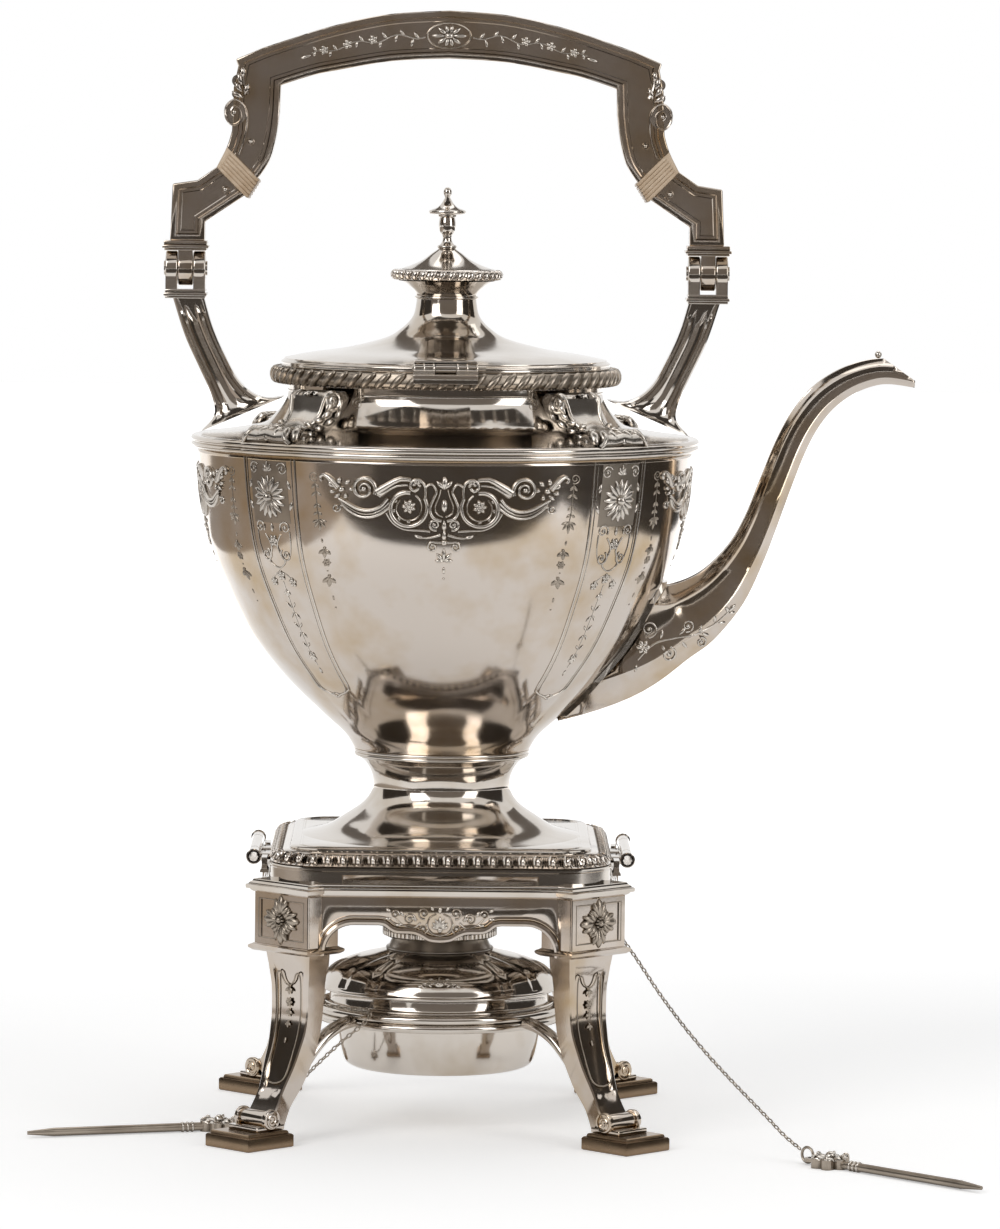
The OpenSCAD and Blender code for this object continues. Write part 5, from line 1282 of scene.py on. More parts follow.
def wrapOn(bm, tree, place, lift=0.0, reach=150):
    # place takes flat ornament (across, up, height) into space; rays drop it on the skin
    back = -(place.to_3x3() @ Vector((0, 0, 1)))
    lost = []
    for v in bm.verts:
        hit, normal, _, _ = tree.ray_cast(place @ Vector((*v.co.xy, reach)), back, reach)
        if hit is None:
            lost.append(v)
            continue
        if normal.dot(back) > 0:
            normal = -normal
        v.co = hit + normal * (v.co.z + lift)
    bmesh.ops.delete(bm, geom=lost, context="VERTS")


def upright(angle, out=0):
    # flat ornament stood up on the side of the kettle that faces the angle, -90 for the front
    return turned(angle + 90) @ shift(0, -out, 0) @ turned(90, "X")


def curl(centre, outer, inner, start, turns, steps=10):
    # points of a volute that winds inwards; negative turns wind clockwise
    count = max(4, int(abs(turns) * steps))
    return [spot(centre, outer + (inner - outer) * i / count, start + 360 * turns * i / count)
            for i in range(count + 1)]


def stroke(bm, points, width, end=None, height=0.75, steps=2, sides=6):
    # a rounded raised line; end is its width at the far end
    path = smoothPath([(p[0], p[1], 0) for p in points], steps)
    end = width if end is None else end
    last = len(path) - 1
    radii = [max(0.04, (width + (end - width) * i / last) / 2) for i in range(last + 1)]
    for v in drawTube(bm, path, radii, sides):
        v.co.z *= 2 * height


petalBlank = ballOf(1, 8, 5)


def petal(bm, base, angle, length, width, height=0.9, bend=0.0, fat=0.6):
    # a plump leaf from its base outwards; fat is how far along it is widest
    blob = petalBlank.copy()
    for v in blob.verts:
        along = (v.co.z + 1) / 2
        swell = (along / fat) ** 0.8 if along < fat else ((1 - along) / (1 - fat)) ** 0.7
        side, up = v.co.x, v.co.y
        v.co.x = along * length
        v.co.y = side * width * (0.25 + 0.35 * swell) + bend * along * along * length
        v.co.z = max(up, -0.3) * height * (0.45 + 0.55 * swell)
    joinAll(bm, blob, [shift(*base, 0) @ turned(angle)])


def fan(bm, base, angle, length, width, spread, count, height=0.9, shorten=0.35):
    for i in range(count):
        side = 2 * i / (count - 1) - 1
        petal(bm, base, angle + spread / 2 * side, length * (1 - shorten * abs(side)), width,
              height, 0.12 * side)


def bead(bm, place, radius, height=0.8, long=1.0, angle=0):
    blob = petalBlank.copy()
    for v in blob.verts:
        v.co = (v.co.z * radius * long, v.co.x * radius, max(v.co.y, -0.3) * radius * height)
    joinAll(bm, blob, [shift(*place, 0) @ turned(angle)])


def flower(bm, place, radius, petals, height=0.8, turn=0, core=0.28):
    for i in range(petals):
        petal(bm, place, turn + 360 * i / petals, radius, 2.6 * radius / petals ** 0.8, height)
    bead(bm, place, radius * core, height + 0.35)


def husk(bm, place, size, height=0.6):
    # a bellflower that hangs down
    for angle, length in ((-90, 1.0), (-128, 0.86), (-52, 0.86)):
        petal(bm, place, angle, size * length, size * 0.42, height, 0.16 * (angle + 90) / 38)
    bead(bm, (place[0], place[1] + size * 0.08), size * 0.16, 0.9)


def volutes(bm, rows, inner, steps, width, end, height, core=None):
    # small scrolls, each row an (x, z) centre, a radius, a start and a number of turns
    for x, z, radius, start, turns in rows:
        stroke(bm, curl((x, z), radius, inner, start, turns, steps), width, end, height)
        if core:
            bead(bm, (x, z), *core)


def petals(bm, rows, width, height, bend=0.0):
    # leaves, each row an (x, z) base, an angle and a length
    for x, z, angle, length in rows:
        petal(bm, (x, z), angle, length, width, height, bend)


def bold(bm, points, width, end=None, height=0.75, steps=2):
    stroke(bm, points, 1.35 * width, 1.35 * (width if end is None else end), height, steps, 8)


def drawSwag():
    # right half of the applied scroll under the rim, mirrored at the end
    bm = bmesh.new()
    # large ring with its flower
    bold(bm, curl((12.0, 216.3), 6.5, 5.2, 150, 0.86, 20), 1.0, 1.25, 0.8)
    bold(bm, curl((12.0, 216.3), 4.9, 3.6, 120, 0.8, 18), 0.55, 0.4, 0.7)
    flower(bm, (11.7, 216.8), 2.5, 7, 1.0, core=0.34)
    for angle in (-100, -60, -20, 20):
        petal(bm, spot((12, 216.3), 5.4, angle), angle + 140, 1.8, 1.1, 0.5)
    # crown leaf that rolls over the ring
    bold(bm, [(6.4, 219.5), (6.2, 223.2), (8.1, 225.7), (10.8, 225.2), (11.2, 223.0),
                (9.6, 222.0), (8.6, 223.1)], 0.7, 0.9, 0.9)
    fan(bm, (9.2, 223.8), 100, 2.6, 1.3, 150, 4, 0.9)
    # long leaf to the outer volute
    bold(bm, [(11.0, 225.6), (14.6, 225.9), (18.4, 223.9), (22.2, 221.5)], 1.0, 1.9, 0.75)
    bold(bm, [(12.0, 223.9), (15.6, 223.6), (18.8, 221.9), (21.4, 220.0)], 0.6, 0.8, 0.6)
    petal(bm, (18.5, 222.6), -32, 4.6, 2.4, 1.0)
    # outer volute
    bold(bm, curl((26.6, 222.4), 4.1, 1.0, 205, -1.7, 18), 1.05, 0.6, 0.85)
    bead(bm, (26.6, 222.4), 0.95, 1.2)
    # the band of lines below it
    for k, (width, drop) in enumerate(((1.0, 0.0), (0.7, 1.35), (0.9, 2.6))):
        bold(bm, [(18.6 - 0.5 * k, 219.4 - drop), (21.0, 216.6 - drop * 0.9),
                    (24.6, 215.2 - drop * 0.85), (28.4, 215.6 - drop * 0.85),
                    (32.0, 217.4 - drop * 0.75), (34.8 - 0.5 * k, 219.0 - drop * 0.6)],
               width, width * 0.7, 0.8, 3)
    bold(bm, [(33.0, 216.4)] + curl((35.7, 215.7), 1.5, 0.4, 150, 1.3, 10), 0.5, 0.4, 0.5)
    # a cluster of curled leaves at its end
    for dx, dy, angle, length, width in (
            (-2.6, 1.6, 120, 2.2, 1.5), (-0.8, 1.7, 75, 2.5, 1.5), (0.9, 0.6, 38, 3.2, 1.6),
            (0.4, -0.6, -8, 2.3, 1.4), (-1.0, -1.2, -50, 2.6, 1.4), (-2.6, -1.0, -110, 2.1, 1.3),
            (-3.6, 0.3, 170, 2.0, 1.4)):
        petal(bm, (35.4 + dx, 221.8 + dy), angle, length, width, 1.0, 0.2)
    bead(bm, (34.0, 222.0), 1.0, 1.1)
    bold(bm, [(35.0, 222.4), (37.2, 224.9), (39.6, 226.7), (41.0, 225.8), (40.4, 224.5)],
           1.5, 0.6, 0.7)
    # line from the cup along the ring's foot, with a wing leaf and small volutes
    bold(bm, [(4.6, 208.6), (8.6, 208.9), (13.2, 209.3), (16.8, 211.4), (18.9, 214.6)],
           0.6, 0.8, 0.6, 3)
    bold(bm, [(1.2, 207.5), (4.2, 206.6), (6.9, 206.4), (9.6, 207.4)], 0.8, 0.35, 0.6, 3)
    petal(bm, (6.6, 206.3), 15, 3.4, 1.2, 0.6)
    bold(bm, [(0.8, 205.0)] + curl((3.8, 203.4), 1.8, 0.4, 120, -1.5, 12), 0.65, 0.4, 0.6)
    bold(bm, curl((3.1, 210.9), 1.9, 0.5, 250, 1.5, 12), 0.75, 0.45, 0.8)
    bead(bm, (3.1, 210.9), 0.6, 1.1)
    # half of the cup
    bold(bm, [(0.9, 212.2), (3.6, 213.2), (4.7, 216.2), (3.6, 219.4), (2.6, 222.0),
                (4.2, 224.4), (6.2, 223.4)], 0.9, 0.6, 0.9, 3)
    bold(bm, [(0.5, 213.4), (2.5, 214.6), (3.0, 217.0), (1.9, 219.9), (1.2, 222.6)],
           0.55, 0.45, 0.7, 3)
    petal(bm, (0.3, 222.6), 62, 3.6, 1.6, 0.9, -0.2)
    bothSides(bm)
    # what stands on the middle line
    petal(bm, (0, 222.4), 90, 4.6, 2.1, 1.1)
    bead(bm, (0, 217.2), 1.15, 1.1, 1.9, 90)
    petal(bm, (0, 212.6), -90, 3.9, 1.7, 0.9)
    petal(bm, (0, 209.4), -90, 4.2, 1.5, 0.8)
    bead(bm, (0, 204.9), 1.0, 1.0)
    fan(bm, (0, 198.4), 90, 4.6, 1.3, 150, 5, 0.6)
    bead(bm, (0, 195.4), 0.5, 0.7, 2.4, 90)
    bead(bm, (0, 192.6), 0.45, 0.7)
    for v in bm.verts:  # plumper, but never over 1.5 high
        v.co.z = 1.5 * math.tanh(v.co.z)
    return bm


def drawSideDrop():
    # the chased drop of flowers at a panel's right edge, mirrored for the left one
    bm = bmesh.new()
    stroke(bm, curl((43.4, 225.9), 1.7, 0.35, -120, 1.5, 12), 0.42, 0.3, 0.35)
    petals(bm, ((43.0, 223.6, -60, 2.2), (43.0, 223.6, -130, 2.2), (42.6, 220.9, -50, 2.4),
                (42.6, 220.9, -140, 2.4), (42.2, 217.0, -60, 2.2), (42.2, 217.0, -125, 2.2),
                (42.0, 214.2, -45, 2.0), (42.0, 214.2, -138, 2.0)), 0.9, 0.35)
    stroke(bm, [(43.0, 224.0), (42.6, 219.5), (42.1, 214.5), (41.5, 211.5)], 0.35, 0.35, 0.35, 4)
    fan(bm, (41.4, 211.6), -94, 4.2, 1.0, 120, 5, 0.4)
    bead(bm, (40.5, 204.4), 0.38, 0.5, 2.2, 80)
    husk(bm, (39.6, 201.7), 3.2, 0.4)
    flower(bm, (38.9, 197.0), 1.5, 6, 0.4)
    bead(bm, (38.6, 194.2), 0.32, 0.5)
    husk(bm, (38.0, 192.2), 3.6, 0.4)
    bead(bm, (36.6, 184.9), 0.36, 0.5, 2.4, 78)
    bead(bm, (35.8, 181.6), 0.32, 0.5)
    return bothSides(bm)


bodySkin = surfaceOf("kettleBody")
for name, drawing, lift, finish in (("bodySwag", drawSwag(), 0.05, "chasedSilver"),
                                    ("sideDrops", drawSideDrop(), 0.02, "engravedSilver")):
    for side, angle in (("Front", -90), ("Right", 0), ("Back", 90), ("Left", 180)):
        laid = drawing.copy()
        wrapOn(laid, bodySkin, upright(angle), lift)
        finishPiece(laid, name + side, "kettle", finish, sharp=70)
    drawing.free()
print("swags ready")


def layFour(name, body, drawing, skin, angles, lift, replaces, finish):
    # one piece of the same drawing laid on a skin at several angles
    bm = bmesh.new()
    for angle in angles:
        laid = drawing.copy()
        wrapOn(laid, skin, upright(angle), lift)
        joinAll(bm, laid)
    drawing.free()
    finishPiece(bm, name, body, finish, replaces, 70)


def standFour(name, body, drawing, out, angles, replaces=(), finish="chasedSilver"):
    # the same for flat faces that stand a distance out from the axis
    bm = joinAll(bmesh.new(), drawing, [upright(angle, out) for angle in angles])
    finishPiece(bm, name, body, finish, replaces, 70)


def drawPilaster():
    # a sunflower, a lyre, three florets and a stem of buds inside a double line
    bm = bmesh.new()

    def width(z):
        return bodyRadius(z) * math.sin(math.radians(bodySize["pilaster"]))

    for inset, thick in ((0.35, 0.7), (1.75, 0.34)):
        stroke(bm, [(width(z) - inset, z) for z in (231, 222, 212, 202, 192, 182, 172, 164, 157)]
               + [(width(152) - inset, 152.4), (2.6, 150.4), (0.2, 149.0 + inset)], thick,
               thick, 0.55, 2)
    volutes(bm, ((6.6, 227.6, 2.3, 150, -1.4), (5.9, 207.9, 2.3, -150, -1.4),
                 (4.5, 198.6, 2.3, 120, 1.4)), 0.5, 12, 0.7, 0.4, 0.6, (0.55, 0.9))
    petal(bm, (8.6, 224.0), -75, 3.4, 1.3, 0.5)
    petal(bm, (8.8, 213.6), 72, 3.4, 1.3, 0.5)
    stroke(bm, [(3.6, 205.6), (1.4, 202.0), (2.4, 198.8), (3.6, 196.4), (1.6, 194.6), (0, 194.2)],
           0.65, 0.5, 0.6, 3)
    stroke(bm, [(7.6, 206.6), (7.4, 202.0), (6.4, 198.6)], 0.5, 0.4, 0.5, 3)
    stroke(bm, [(0, 192.8), (2.2, 192.2), (4.2, 190.4)], 0.4, 0.35, 0.4, 3)
    flower(bm, (4.4, 189.4), 1.7, 5, 0.6, 18)
    for z, size in ((180.4, 2.6), (173.6, 2.3), (167.0, 2.0)):
        petal(bm, (0.3, z), 38, size, 0.75, 0.4, 0.2)
        petal(bm, (0.3, z - 1.6), -38, size, 0.75, 0.4, -0.2)
    bothSides(bm)
    flower(bm, (0, 218.2), 7.6, 16, 1.0, core=0.24)
    fan(bm, (0, 226.6), 90, 3.8, 1.1, 120, 5, 0.6)
    petal(bm, (0, 209.4), -90, 3.2, 1.3, 0.6)
    flower(bm, (0, 203.4), 2.2, 6, 0.7)
    flower(bm, (0, 191.6), 1.9, 5, 0.6, 90)
    stroke(bm, [(0, 189.4), (0, 176), (0, 160.5)], 0.4, 0.35, 0.4, 6)
    for z, size in ((186.4, 2.4), (164.2, 2.6)):
        husk(bm, (0, z), size, 0.45)
    bead(bm, (0, 158.6), 0.5, 0.6, 2.0, 90)
    return bm


def drawSpoutPanel():
    # a scroll that grows from the spout's root and runs up its side
    bm = bmesh.new()
    stem = [(66.5, 161.0), (72.0, 166.5), (79.0, 168.4), (86.0, 169.6), (92.4, 172.6),
            (97.6, 177.2)]
    stroke(bm, stem, 0.9, 0.4, 0.5, 4)
    volutes(bm, ((70.2, 171.6, 3.0, -90, 1.5), (77.2, 162.8, 2.7, 80, -1.5),
                 (83.6, 172.6, 2.2, -110, 1.4), (88.4, 166.8, 1.9, 100, -1.4)),
            0.5, 12, 0.8, 0.4, 0.6, (0.7, 0.9))
    flower(bm, (68.4, 165.4), 2.6, 6, 0.7)
    petals(bm, ((74.2, 168.2, 70, 3.4), (74.8, 166.2, -75, 2.2), (80.6, 169.6, 40, 3.6),
                (81.6, 167.4, -60, 3.2), (87.4, 170.6, 60, 2.8), (88.6, 169.8, -20, 2.6),
                (92.8, 173.6, 78, 2.6), (94.2, 173.4, -5, 2.6), (97.6, 177.2, 40, 3.6),
                (97.2, 177.0, 85, 2.2), (97.8, 176.8, -2, 2.2), (66.4, 159.6, -115, 3.0)),
           1.2, 0.6, 0.15)
    return bm


def drawCartouche():
    # the scroll in the middle of each apron
    bm = bmesh.new()
    stroke(bm, [(0, 71.0), (2.6, 71.8), (4.2, 74.2), (3.4, 77.2), (1.2, 78.4)], 0.9, 0.6, 0.9, 3)
    volutes(bm, ((5.4, 78.6, 2.0, -100, 1.4), (5.6, 73.4, 1.8, 120, 1.4),
                 (10.2, 76.6, 2.1, -160, -1.5), (15.0, 78.2, 1.5, 200, -1.3)),
            0.45, 12, 0.75, 0.4, 0.8, (0.6, 1.0))
    stroke(bm, [(6.6, 75.4), (9.0, 73.6), (12.4, 74.6), (14.8, 76.9)], 0.8, 0.5, 0.7, 3)
    petals(bm, ((7.4, 76.4, 10, 2.4), (8.2, 73.6, -25, 2.8), (12.0, 77.4, 50, 2.4),
                (12.6, 75.0, -20, 2.6), (16.2, 77.0, -15, 2.4), (16.4, 79.2, 20, 2.0),
                (2.0, 79.4, 50, 2.0)), 1.1, 0.8, 0.15)
    bothSides(bm)
    fan(bm, (0, 73.2), 90, 4.6, 1.3, 130, 7, 1.0)
    bead(bm, (0, 73.0), 1.0, 1.2)
    petal(bm, (0, 78.4), 90, 2.6, 1.4, 0.9)
    return bm


def drawRosette(radius):
    # four lobed acanthus leaves, a bud between each two, and a round core
    bm = bmesh.new()
    for angle in (0, 90, 180, 270):
        for spread, long, wide in ((0, 0.92, 0.4), (-24, 0.84, 0.27), (24, 0.84, 0.27),
                                   (-46, 0.62, 0.24), (46, 0.62, 0.24)):
            petal(bm, spot((0, 0), 0.14 * radius, angle), angle + spread, radius * long,
                  radius * wide, 1.7, 0, 0.72)
        petal(bm, (0, 0), angle + 45, radius * 0.72, radius * 0.22, 1.1)
    for i in range(10):
        bead(bm, spot((0, 0), 1.75, 36 * i), 0.5, 4.2)
    bead(bm, (0, 0), 1.35, 1.9)
    return moveAll(bm, shift(0, 75.3, 0))


def drawLegPanel():
    # the line of the leg's sunk face with its shaped head, and the husks that hang in it
    bm = bmesh.new()
    stroke(bm, [(0, 20.4), (3.0, 21.0), (4.9, 23.4), (5.1, 30), (5.5, 40), (5.7, 50), (5.7, 55.4),
                (4.9, 57.3), (3.5, 56.8), (2.6, 54.8), (1.3, 53.4), (0, 53.0)], 0.5, 0.5, 0.55, 3)
    bothSides(bm)
    flower(bm, (0, 47.2), 1.7, 6, 0.5)
    for z, size in ((52.4, 2.7), (44.6, 2.4), (40.6, 2.1)):
        husk(bm, (0, z), size, 0.4)
    bead(bm, (0, 34.4), 0.45, 0.5, 2.2, 90)
    return bm


def drawConsoleLeaf():
    # an acanthus leaf that rolls over the volute and runs down to the console's foot
    bm = bmesh.new()
    for up, angle, length, width, spread, count, height, shorten in (
            (11.0, -90, 8.2, 2.6, 130, 7, 1.3, 0.3), (3.4, -90, 7.6, 2.2, 120, 7, 1.2, 0.25),
            (-3.4, -90, 7.0, 1.9, 100, 7, 1.1, 0.2), (9.6, 90, 4.4, 1.8, 150, 5, 1.2, 0.2)):
        fan(bm, (0, up), angle, length, width, spread, count, height, shorten)
    stroke(bm, [(0, 11.5), (0, 5), (0, -2), (0, -9.4)], 1.2, 0.6, 1.2, 3)
    return bm


def drawConsoleFlanks():
    # a thread along each edge of a console, and leaves that run down its sides
    bm = bmesh.new()
    topLine, footLine = consoleSize["top"], consoleSize["foot"]
    for side in (-1, 1):
        edge = [(at(topLine, i / 20), side * (consoleWide(i / 20) - 0.4)) for i in range(21)]
        drawTube(bm, [(p.x, y, p.y - 0.2) for p, y in edge], 0.8, 6)
        for t, size in ((0.94, 6.2), (0.8, 6.0), (0.66, 5.6), (0.52, 5.2), (0.4, 4.6), (0.28, 4.0)):
            top, foot = at(topLine, t), at(footLine, t)
            head = at(topLine, t - 0.1) - top
            for share, swing in ((0.62, 12), (0.3, -14)):
                x, z = foot.lerp(top, share)
                leaf = bmesh.new()
                petal(leaf, (0, 0), math.degrees(math.atan2(head.y, head.x)) + swing, size, 2.6,
                      1.3, 0.15)
                joinAll(bm, leaf, [Matrix(((1, 0, 0, x), (0, 0, side, side * consoleWide(t)),
                                           (0, 1, 0, z), (0, 0, 0, 1)))])
    faceOut(bm)
    return bm


def makeConsoleLeaves():
    skin, bm = surfaceOf("shoulderConsoles"), bmesh.new()
    slant = Matrix(((0, -0.8, 0.6, 0), (-1, 0, 0, 0), (0, 0.6, 0.8, 0), (0, 0, 0, 1)))
    for angle in diagonals:
        leaf = drawConsoleLeaf()
        wrapOn(leaf, skin, turned(angle) @ shift(72.5, 0, 245.5) @ slant, 0.02, 72)
        joinAll(bm, leaf)
    joinAll(bm, drawConsoleFlanks(), map(turned, diagonals))
    finishPiece(bm, "consoleLeaves", "kettle", "chasedSilver", (), 70)


def drawShoulderLine():
    bm = bmesh.new()
    stroke(bm, [(0, 251.9), (12, 251.9), (21, 251.9), (28, 251.7), (31.0, 249.8)],
           0.4, 0.35, 0.3, 4)
    stroke(bm, curl((29.4, 248.9), 1.8, 0.4, 30, -1.3, 10), 0.4, 0.3, 0.3)
    return bothSides(bm)


def makeHingePlates():
    # the lid's hinge: one plate rides the lid, the other and the barrel's rings the kettle
    across = Matrix(((0, 0, 1, 0), (1, 0, 0, 0), (0, 1, 0, 0), (0, 0, 0, 1)))
    for name, body, half, profile in (
            ("lidHingePlate", "lid", 10.4,
             [(-56.6, 263.4), (-56.2, 262.6), (-53.0, 262.6), (-53.0, 264.1), (-55.6, 264.3),
              (-59.2, 264.0), (-59.2, 263.4)]),
            ("lidHingeRest", "kettle", 10.8,
             [(-57.6, 259.7), (-59.9, 259.7), (-60.9, 259.2), (-60.9, 256.4), (-57.6, 255.8)])):
        bm = bmesh.new()
        cutOut(bm, profile, 2 * half, shift(-half, 0, 0) @ across, 0.15, 2)
        if body == "kettle":
            joinAll(bm, torusOf(1.7, 0.28, 20, 6), [shift(x, -58.3, 261.5) @ turned(90, "Y") for x
                                                    in (-10.5, -7.2, -4.0, 4.0, 7.2, 10.5)])
        finishPiece(bm, name, body, "polishedSilver", (), 30)


def bailMiddle(x):
    # height of the arch's middle line
    return level([(0, 373.0), (19.5, 371.8), (38, 368.3), (50, 364.6), (62, 360.4)], x)


def drawVine():
    # leaves and small flowers either side of the oval rosette on the bail's arch
    bm = bmesh.new()
    stroke(bm, [(x, bailMiddle(x) + 0.9 * math.sin(x * 0.45)) for x in range(8, 48, 3)], 0.6, 0.35,
           0.5, 2)
    for x, up, size in ((10, 1, 3.0), (12, -1, 3.0), (15, 1, 2.6), (17.5, -1, 2.8), (21, 1, 2.8),
                        (23, -1, 2.4), (29, 1, 2.6), (31, -1, 2.4), (38, 1, 2.4), (40, -1, 2.2),
                        (45, 1, 2.0), (45.4, -1, 2.0)):
        z = bailMiddle(x) + 0.9 * math.sin(x * 0.45)
        petal(bm, (x, z), -12 + 48 * up, size, 1.1, 0.6, 0.2 * up)
    for x in (26, 34.6, 42.6):
        flower(bm, (x, bailMiddle(x) + 0.4), 1.8, 5, 0.7)
    petal(bm, (46.8, bailMiddle(46.8)), -18, 4.0, 1.2, 0.6)
    bothSides(bm)
    ring = [spot((0, 0), 1, 18 * i) for i in range(21)]
    stroke(bm, [(7.4 * x, 372.6 + 4.3 * z) for x, z in ring], 0.8, 0.8, 0.8)
    for i in range(10):
        x, z = spot((0, 0), 1, 36 * i)
        petal(bm, (0.6 * x, 372.6 + 0.4 * z), 36 * i, 5.6 - 2.2 * abs(z), 1.5, 1.0)
    bead(bm, (0, 372.6), 1.2, 1.5, 1.5)
    return bm


def makeBailVolutes():
    # a coil over each outer edge of the bail, its long stem, and the leaf above it
    flat = bmesh.new()
    stroke(flat, [(71.3, 331.6), (69.6, 336.4), (68.7, 341.4), (69.0, 347.0), (72.2, 350.2),
                  (75.5, 348.2), (75.8, 344.4), (73.6, 341.6), (70.9, 343.0), (70.9, 346.4),
                  (72.9, 347.9), (74.1, 346.0), (73.0, 344.6)], 0.9, 1.0, 0.95, 4, 8)
    bead(flat, (72.9, 345.9), 0.9, 1.4)
    stroke(flat, [(68.2, 352.0), (69.9, 356.4), (69.6, 360.8)], 1.3, 0.7, 0.7, 3)
    petals(flat, ((69.8, 350.8, 22, 4.6), (70.2, 352.6, 48, 4.4), (70.3, 354.8, 66, 4.8),
                  (70.1, 357.4, 84, 4.0), (69.4, 351.6, 100, 4.4)), 2.0, 1.3, 0.12)
    bothSides(flat)
    bm = joinAll(bmesh.new(), flat, [upright(angle, 5.2) for angle in (-90, 90)])
    for x, z, r, half in ((72.5, 345.6, 3.9, 5.3), (72.3, 352.1, 1.5, 4.6),
                          (71.7, 356.6, 2.1, 5.0)):
        joinAll(bm, rollOf(r, 2 * half), [shift(side * x, 0, z) @ turned(90, "X")
                                          for side in (-1, 1)])
    finishPiece(bm, "bailVolutes", "bail", "borderSilver", (), 50)


def drawRectangle(x, z0, z1, width):
    bm = bmesh.new()
    corners = rectangle(-x, x, z0, z1)
    for a, b in zip(corners, corners[1:] + corners[:1]):
        stroke(bm, [a, ((a[0] + b[0]) / 2, (a[1] + b[1]) / 2), b], width, width, 0.4, 2)
    return bm


def drawDomeScroll():
    bm = bmesh.new()
    volutes(bm, ((2.6, 52.6, 1.3, -90, 1.4), (5.0, 51.4, 1.0, 180, -1.3)), 0.3, 10, 0.55, 0.3, 0.6)
    petal(bm, (5.6, 51.6), -20, 1.8, 0.8, 0.6)
    bothSides(bm)
    fan(bm, (0, 51.2), 90, 3.0, 1.0, 100, 5, 0.8)
    return bm


pinSize = {"radius": 1.45, "rosette": 6.6, "lift": 1.7, "ringR": 2.5, "wire": 0.5,
           "ringAt": -10.335}
pinPlaces = {"Right": ((130, -95.5), -46.5), "Left": ((-74.5, -30), 197.4)}
chainRoutes = {
    "Right": [(60, -31, 74.2), (60.8, -31.4, 69.4), (63.5, -34, 65.6), (67, -37, 61),
              (74.5, -43.5, 50.4), (82, -49.5, 41), (89, -55.5, 33.2), (96, -62, 26.2),
              (103, -68, 19.6), (110, -74.5, 13.2), (115.6, -80.2, 8), (120.6, -85.7, 4.5)],
    "Left": [(-60, -31, 74.2), (-60, -31, 69), (-57.5, -31.5, 62), (-52.5, -33, 54.5),
             (-46, -35, 48.5), (-39.5, -36, 45), (-33, -36, 43.4), (-28, -35.2, 43),
             (-24.4, -36.2, 43), (-23.4, -39.4, 41.4), (-26, -42, 38.4), (-30.6, -42.4, 34.6),
             (-36, -41, 29.6), (-42, -38.5, 23.4), (-49, -35, 16), (-55.5, -30, 12),
             (-59.8, -26, 8.1), (-62.3, -26.3, 5.5)],
}
chainSize = {"width": 1.7, "wire": 0.42, "end": 0.8, "pitch": 1.72}


def torusOf(radius, wire, around=12, sides=6, stretch=1.0):
    ring = bmesh.new()
    loop = [Vector((*spot((0, 0), radius, 360 * i / around), 0)) for i in range(around)]
    for p in loop:
        p.x *= stretch
    verts = []
    for i, p in enumerate(loop):
        out = (loop[(i + 1) % around] - loop[i - 1]).normalized().cross(Vector((0, 0, 1)))
        verts.append([ring.verts.new(p + out * x + Vector((0, 0, z)))
                      for x, z in (spot((0, 0), wire, 360 * k / sides) for k in range(sides))])
    for a, b in zip(verts, verts[1:] + verts[:1]):
        for k in range(sides):
            ring.faces.new((a[k], b[k], b[(k + 1) % sides], a[(k + 1) % sides]))
    faceOut(ring)
    return ring


def makeRivets():
    # domed heads, each in a fine ring, above and below the heat stops on both faces
    head = torusOf(1.0, 0.22, 18, 6)
    bead(head, (0, 0), 0.85, 1.1)
    bm = joinAll(bmesh.new(), head, [upright(angle, 4.85) @ shift(side * x, z, 0)
                                     for x, z in ((67.23, 335.92), (75.73, 319.63))
                                     for side in (-1, 1) for angle in (-90, 90)])
    finishPiece(bm, "bailRivets", "bail", "polishedSilver", ("bail_rivets",), 45)


def makePin(side):
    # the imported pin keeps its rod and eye, and gets its flower, collars and ring
    s = pinSize
    place, turn = pinPlaces[side]
    place = shift(*place, 0) @ turned(turn)
    bm = joinAll(bmesh.new(), torusOf(s["radius"] - 0.05, 0.45, 20, 8),
                 [shift(x, 0, s["lift"]) @ turned(90, "Y") for x in (9.5, 11.2, 12.9)])
    leaf = bmesh.new()
    petal(leaf, (0.6, 0), 0, s["rosette"] - 0.7, 4.4, 1.5, 0.0, 0.7)
    joinAll(leaf, torusOf(0.85, 0.5, 12, 6), [shift(s["rosette"] - 1.3, 0, 0.7)
                                              @ turned(90, "X")])
    joinAll(bm, leaf, [shift(0, 0, 2.9) @ turned(60 * i) for i in range(6)])
    button = bmesh.new()
    bead(button, (0, 0), 1.8, 0.9)
    joinAll(bm, button, [shift(0, 0, 4.0)])
    bloom = finishPiece(moveAll(bm, place), "pinFlower" + side, "stand", "chasedSilver", (), 45)
    hoop = joinAll(bmesh.new(), torusOf(s["ringR"], s["wire"], 28, 8),
                   [place @ shift(s["ringAt"], 0, 3.0) @ turned(90, "X")])
    hoop = finishPiece(hoop, "pinRing" + side, "stand", "engravedSilver", ("pin_rings",), 45)
    return bloom, hoop, frame["nodes"][side.lower() + "_pin"]


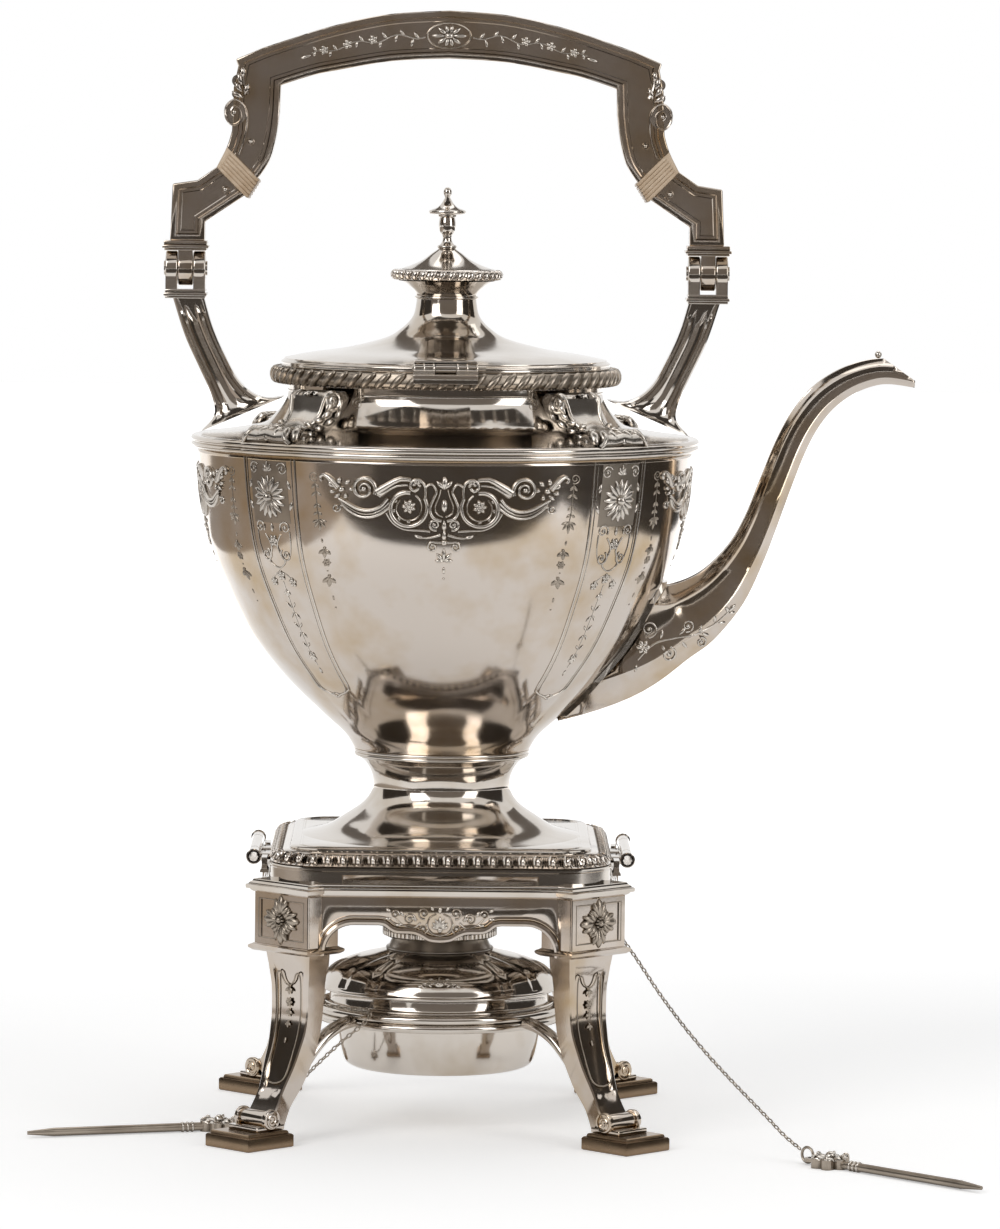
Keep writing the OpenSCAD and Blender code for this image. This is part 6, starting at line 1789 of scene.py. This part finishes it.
def makeChain(side, pieces):
    path = smoothPath(chainRoutes[side], 3)
    reach = [0]
    for a, b in zip(path, path[1:]):
        reach.append(reach[-1] + (b - a).length)
    wide, wire, end = chainSize["width"], chainSize["wire"], chainSize["end"]
    count = round((reach[-1] - 2 * end) / chainSize["pitch"])
    places = []
    for i in range(count + 1):
        d = end + (reach[-1] - 2 * end) * i / count
        k = max(j for j in range(len(reach) - 1) if reach[j] <= d)
        middle = path[k].lerp(path[k + 1], (d - reach[k]) / (reach[k + 1] - reach[k]))
        head = (path[k + 1] - path[k]).to_track_quat("X", "Z").to_matrix().to_4x4()
        places.append(Matrix.Translation(middle) @ head @ turned(90 * (i % 2) + 20, "X"))
    link = torusOf((wide - wire) / 2 - 0.05, wire / 2 + 0.03, 10, 5, 1.62)
    chain = finishPiece(joinAll(bmesh.new(), link, places), "chain" + side, "stand",
                        "engravedSilver", (side.lower() + "_chain",), 60)


def pilasterGround():
    # the dark sheet that the pilaster's sunflower stands on
    bm = bmesh.new()
    bmesh.ops.create_grid(bm, x_segments=10, y_segments=14, size=1)
    return moveAll(bm, shift(0, 219.8, 0) @ Matrix.Diagonal((8.6, 10.4, 1, 1)))


legs = surfaceOf(*(name for name in bpy.data.objects.keys() if name.startswith("leg")))
dark = "engravedSilver"
for name, body, drawing, skin, angles, lift, replaces, finish in (
        ("pilasterScrolls", "kettle", drawPilaster(), bodySkin, diagonals, 0.05, ("pilasters",),
         "chasedSilver"),
        ("pilasterGround", "kettle", pilasterGround(), bodySkin, diagonals, 0.04, (), dark),
        ("spoutScroll", "kettle", drawSpoutPanel(), surfaceOf("spoutNeck"), (-90,), 0.02, (),
         "chasedSilver"),
        ("legPanels", "stand", drawLegPanel(), legs, diagonals, 0.02, (), dark),
        ("shoulderLines", "kettle", drawShoulderLine(), surfaceOf("kettleShoulder"), straights,
         0.02, (), dark),
        ("lampScroll", "lamp", drawDomeScroll(), surfaceOf("lampCover"), (-90, 90), 0.02, (),
         "chasedSilver")):
    layFour(name, body, drawing, skin, angles, lift, replaces, finish)
standFour("apronScrolls", "stand", drawCartouche(), 58.0, straights)
standFour("cornerRosettes", "stand", drawRosette(8.2), 75.3, diagonals, ("corner_rosettes",), dark)
standFour("cornerLines", "stand", drawRectangle(10.85, 68.7, 81.9, 0.4), 75.57, diagonals, (), dark)
standFour("bailVines", "bail", drawVine(), 4.52, (-90, 90), ("bail_medallions",))
makeConsoleLeaves()
makeHingePlates()
makeBailVolutes()
makeRivets()
for side in pinPlaces:
    makeChain(side, makePin(side))
print("ornament and chains ready")
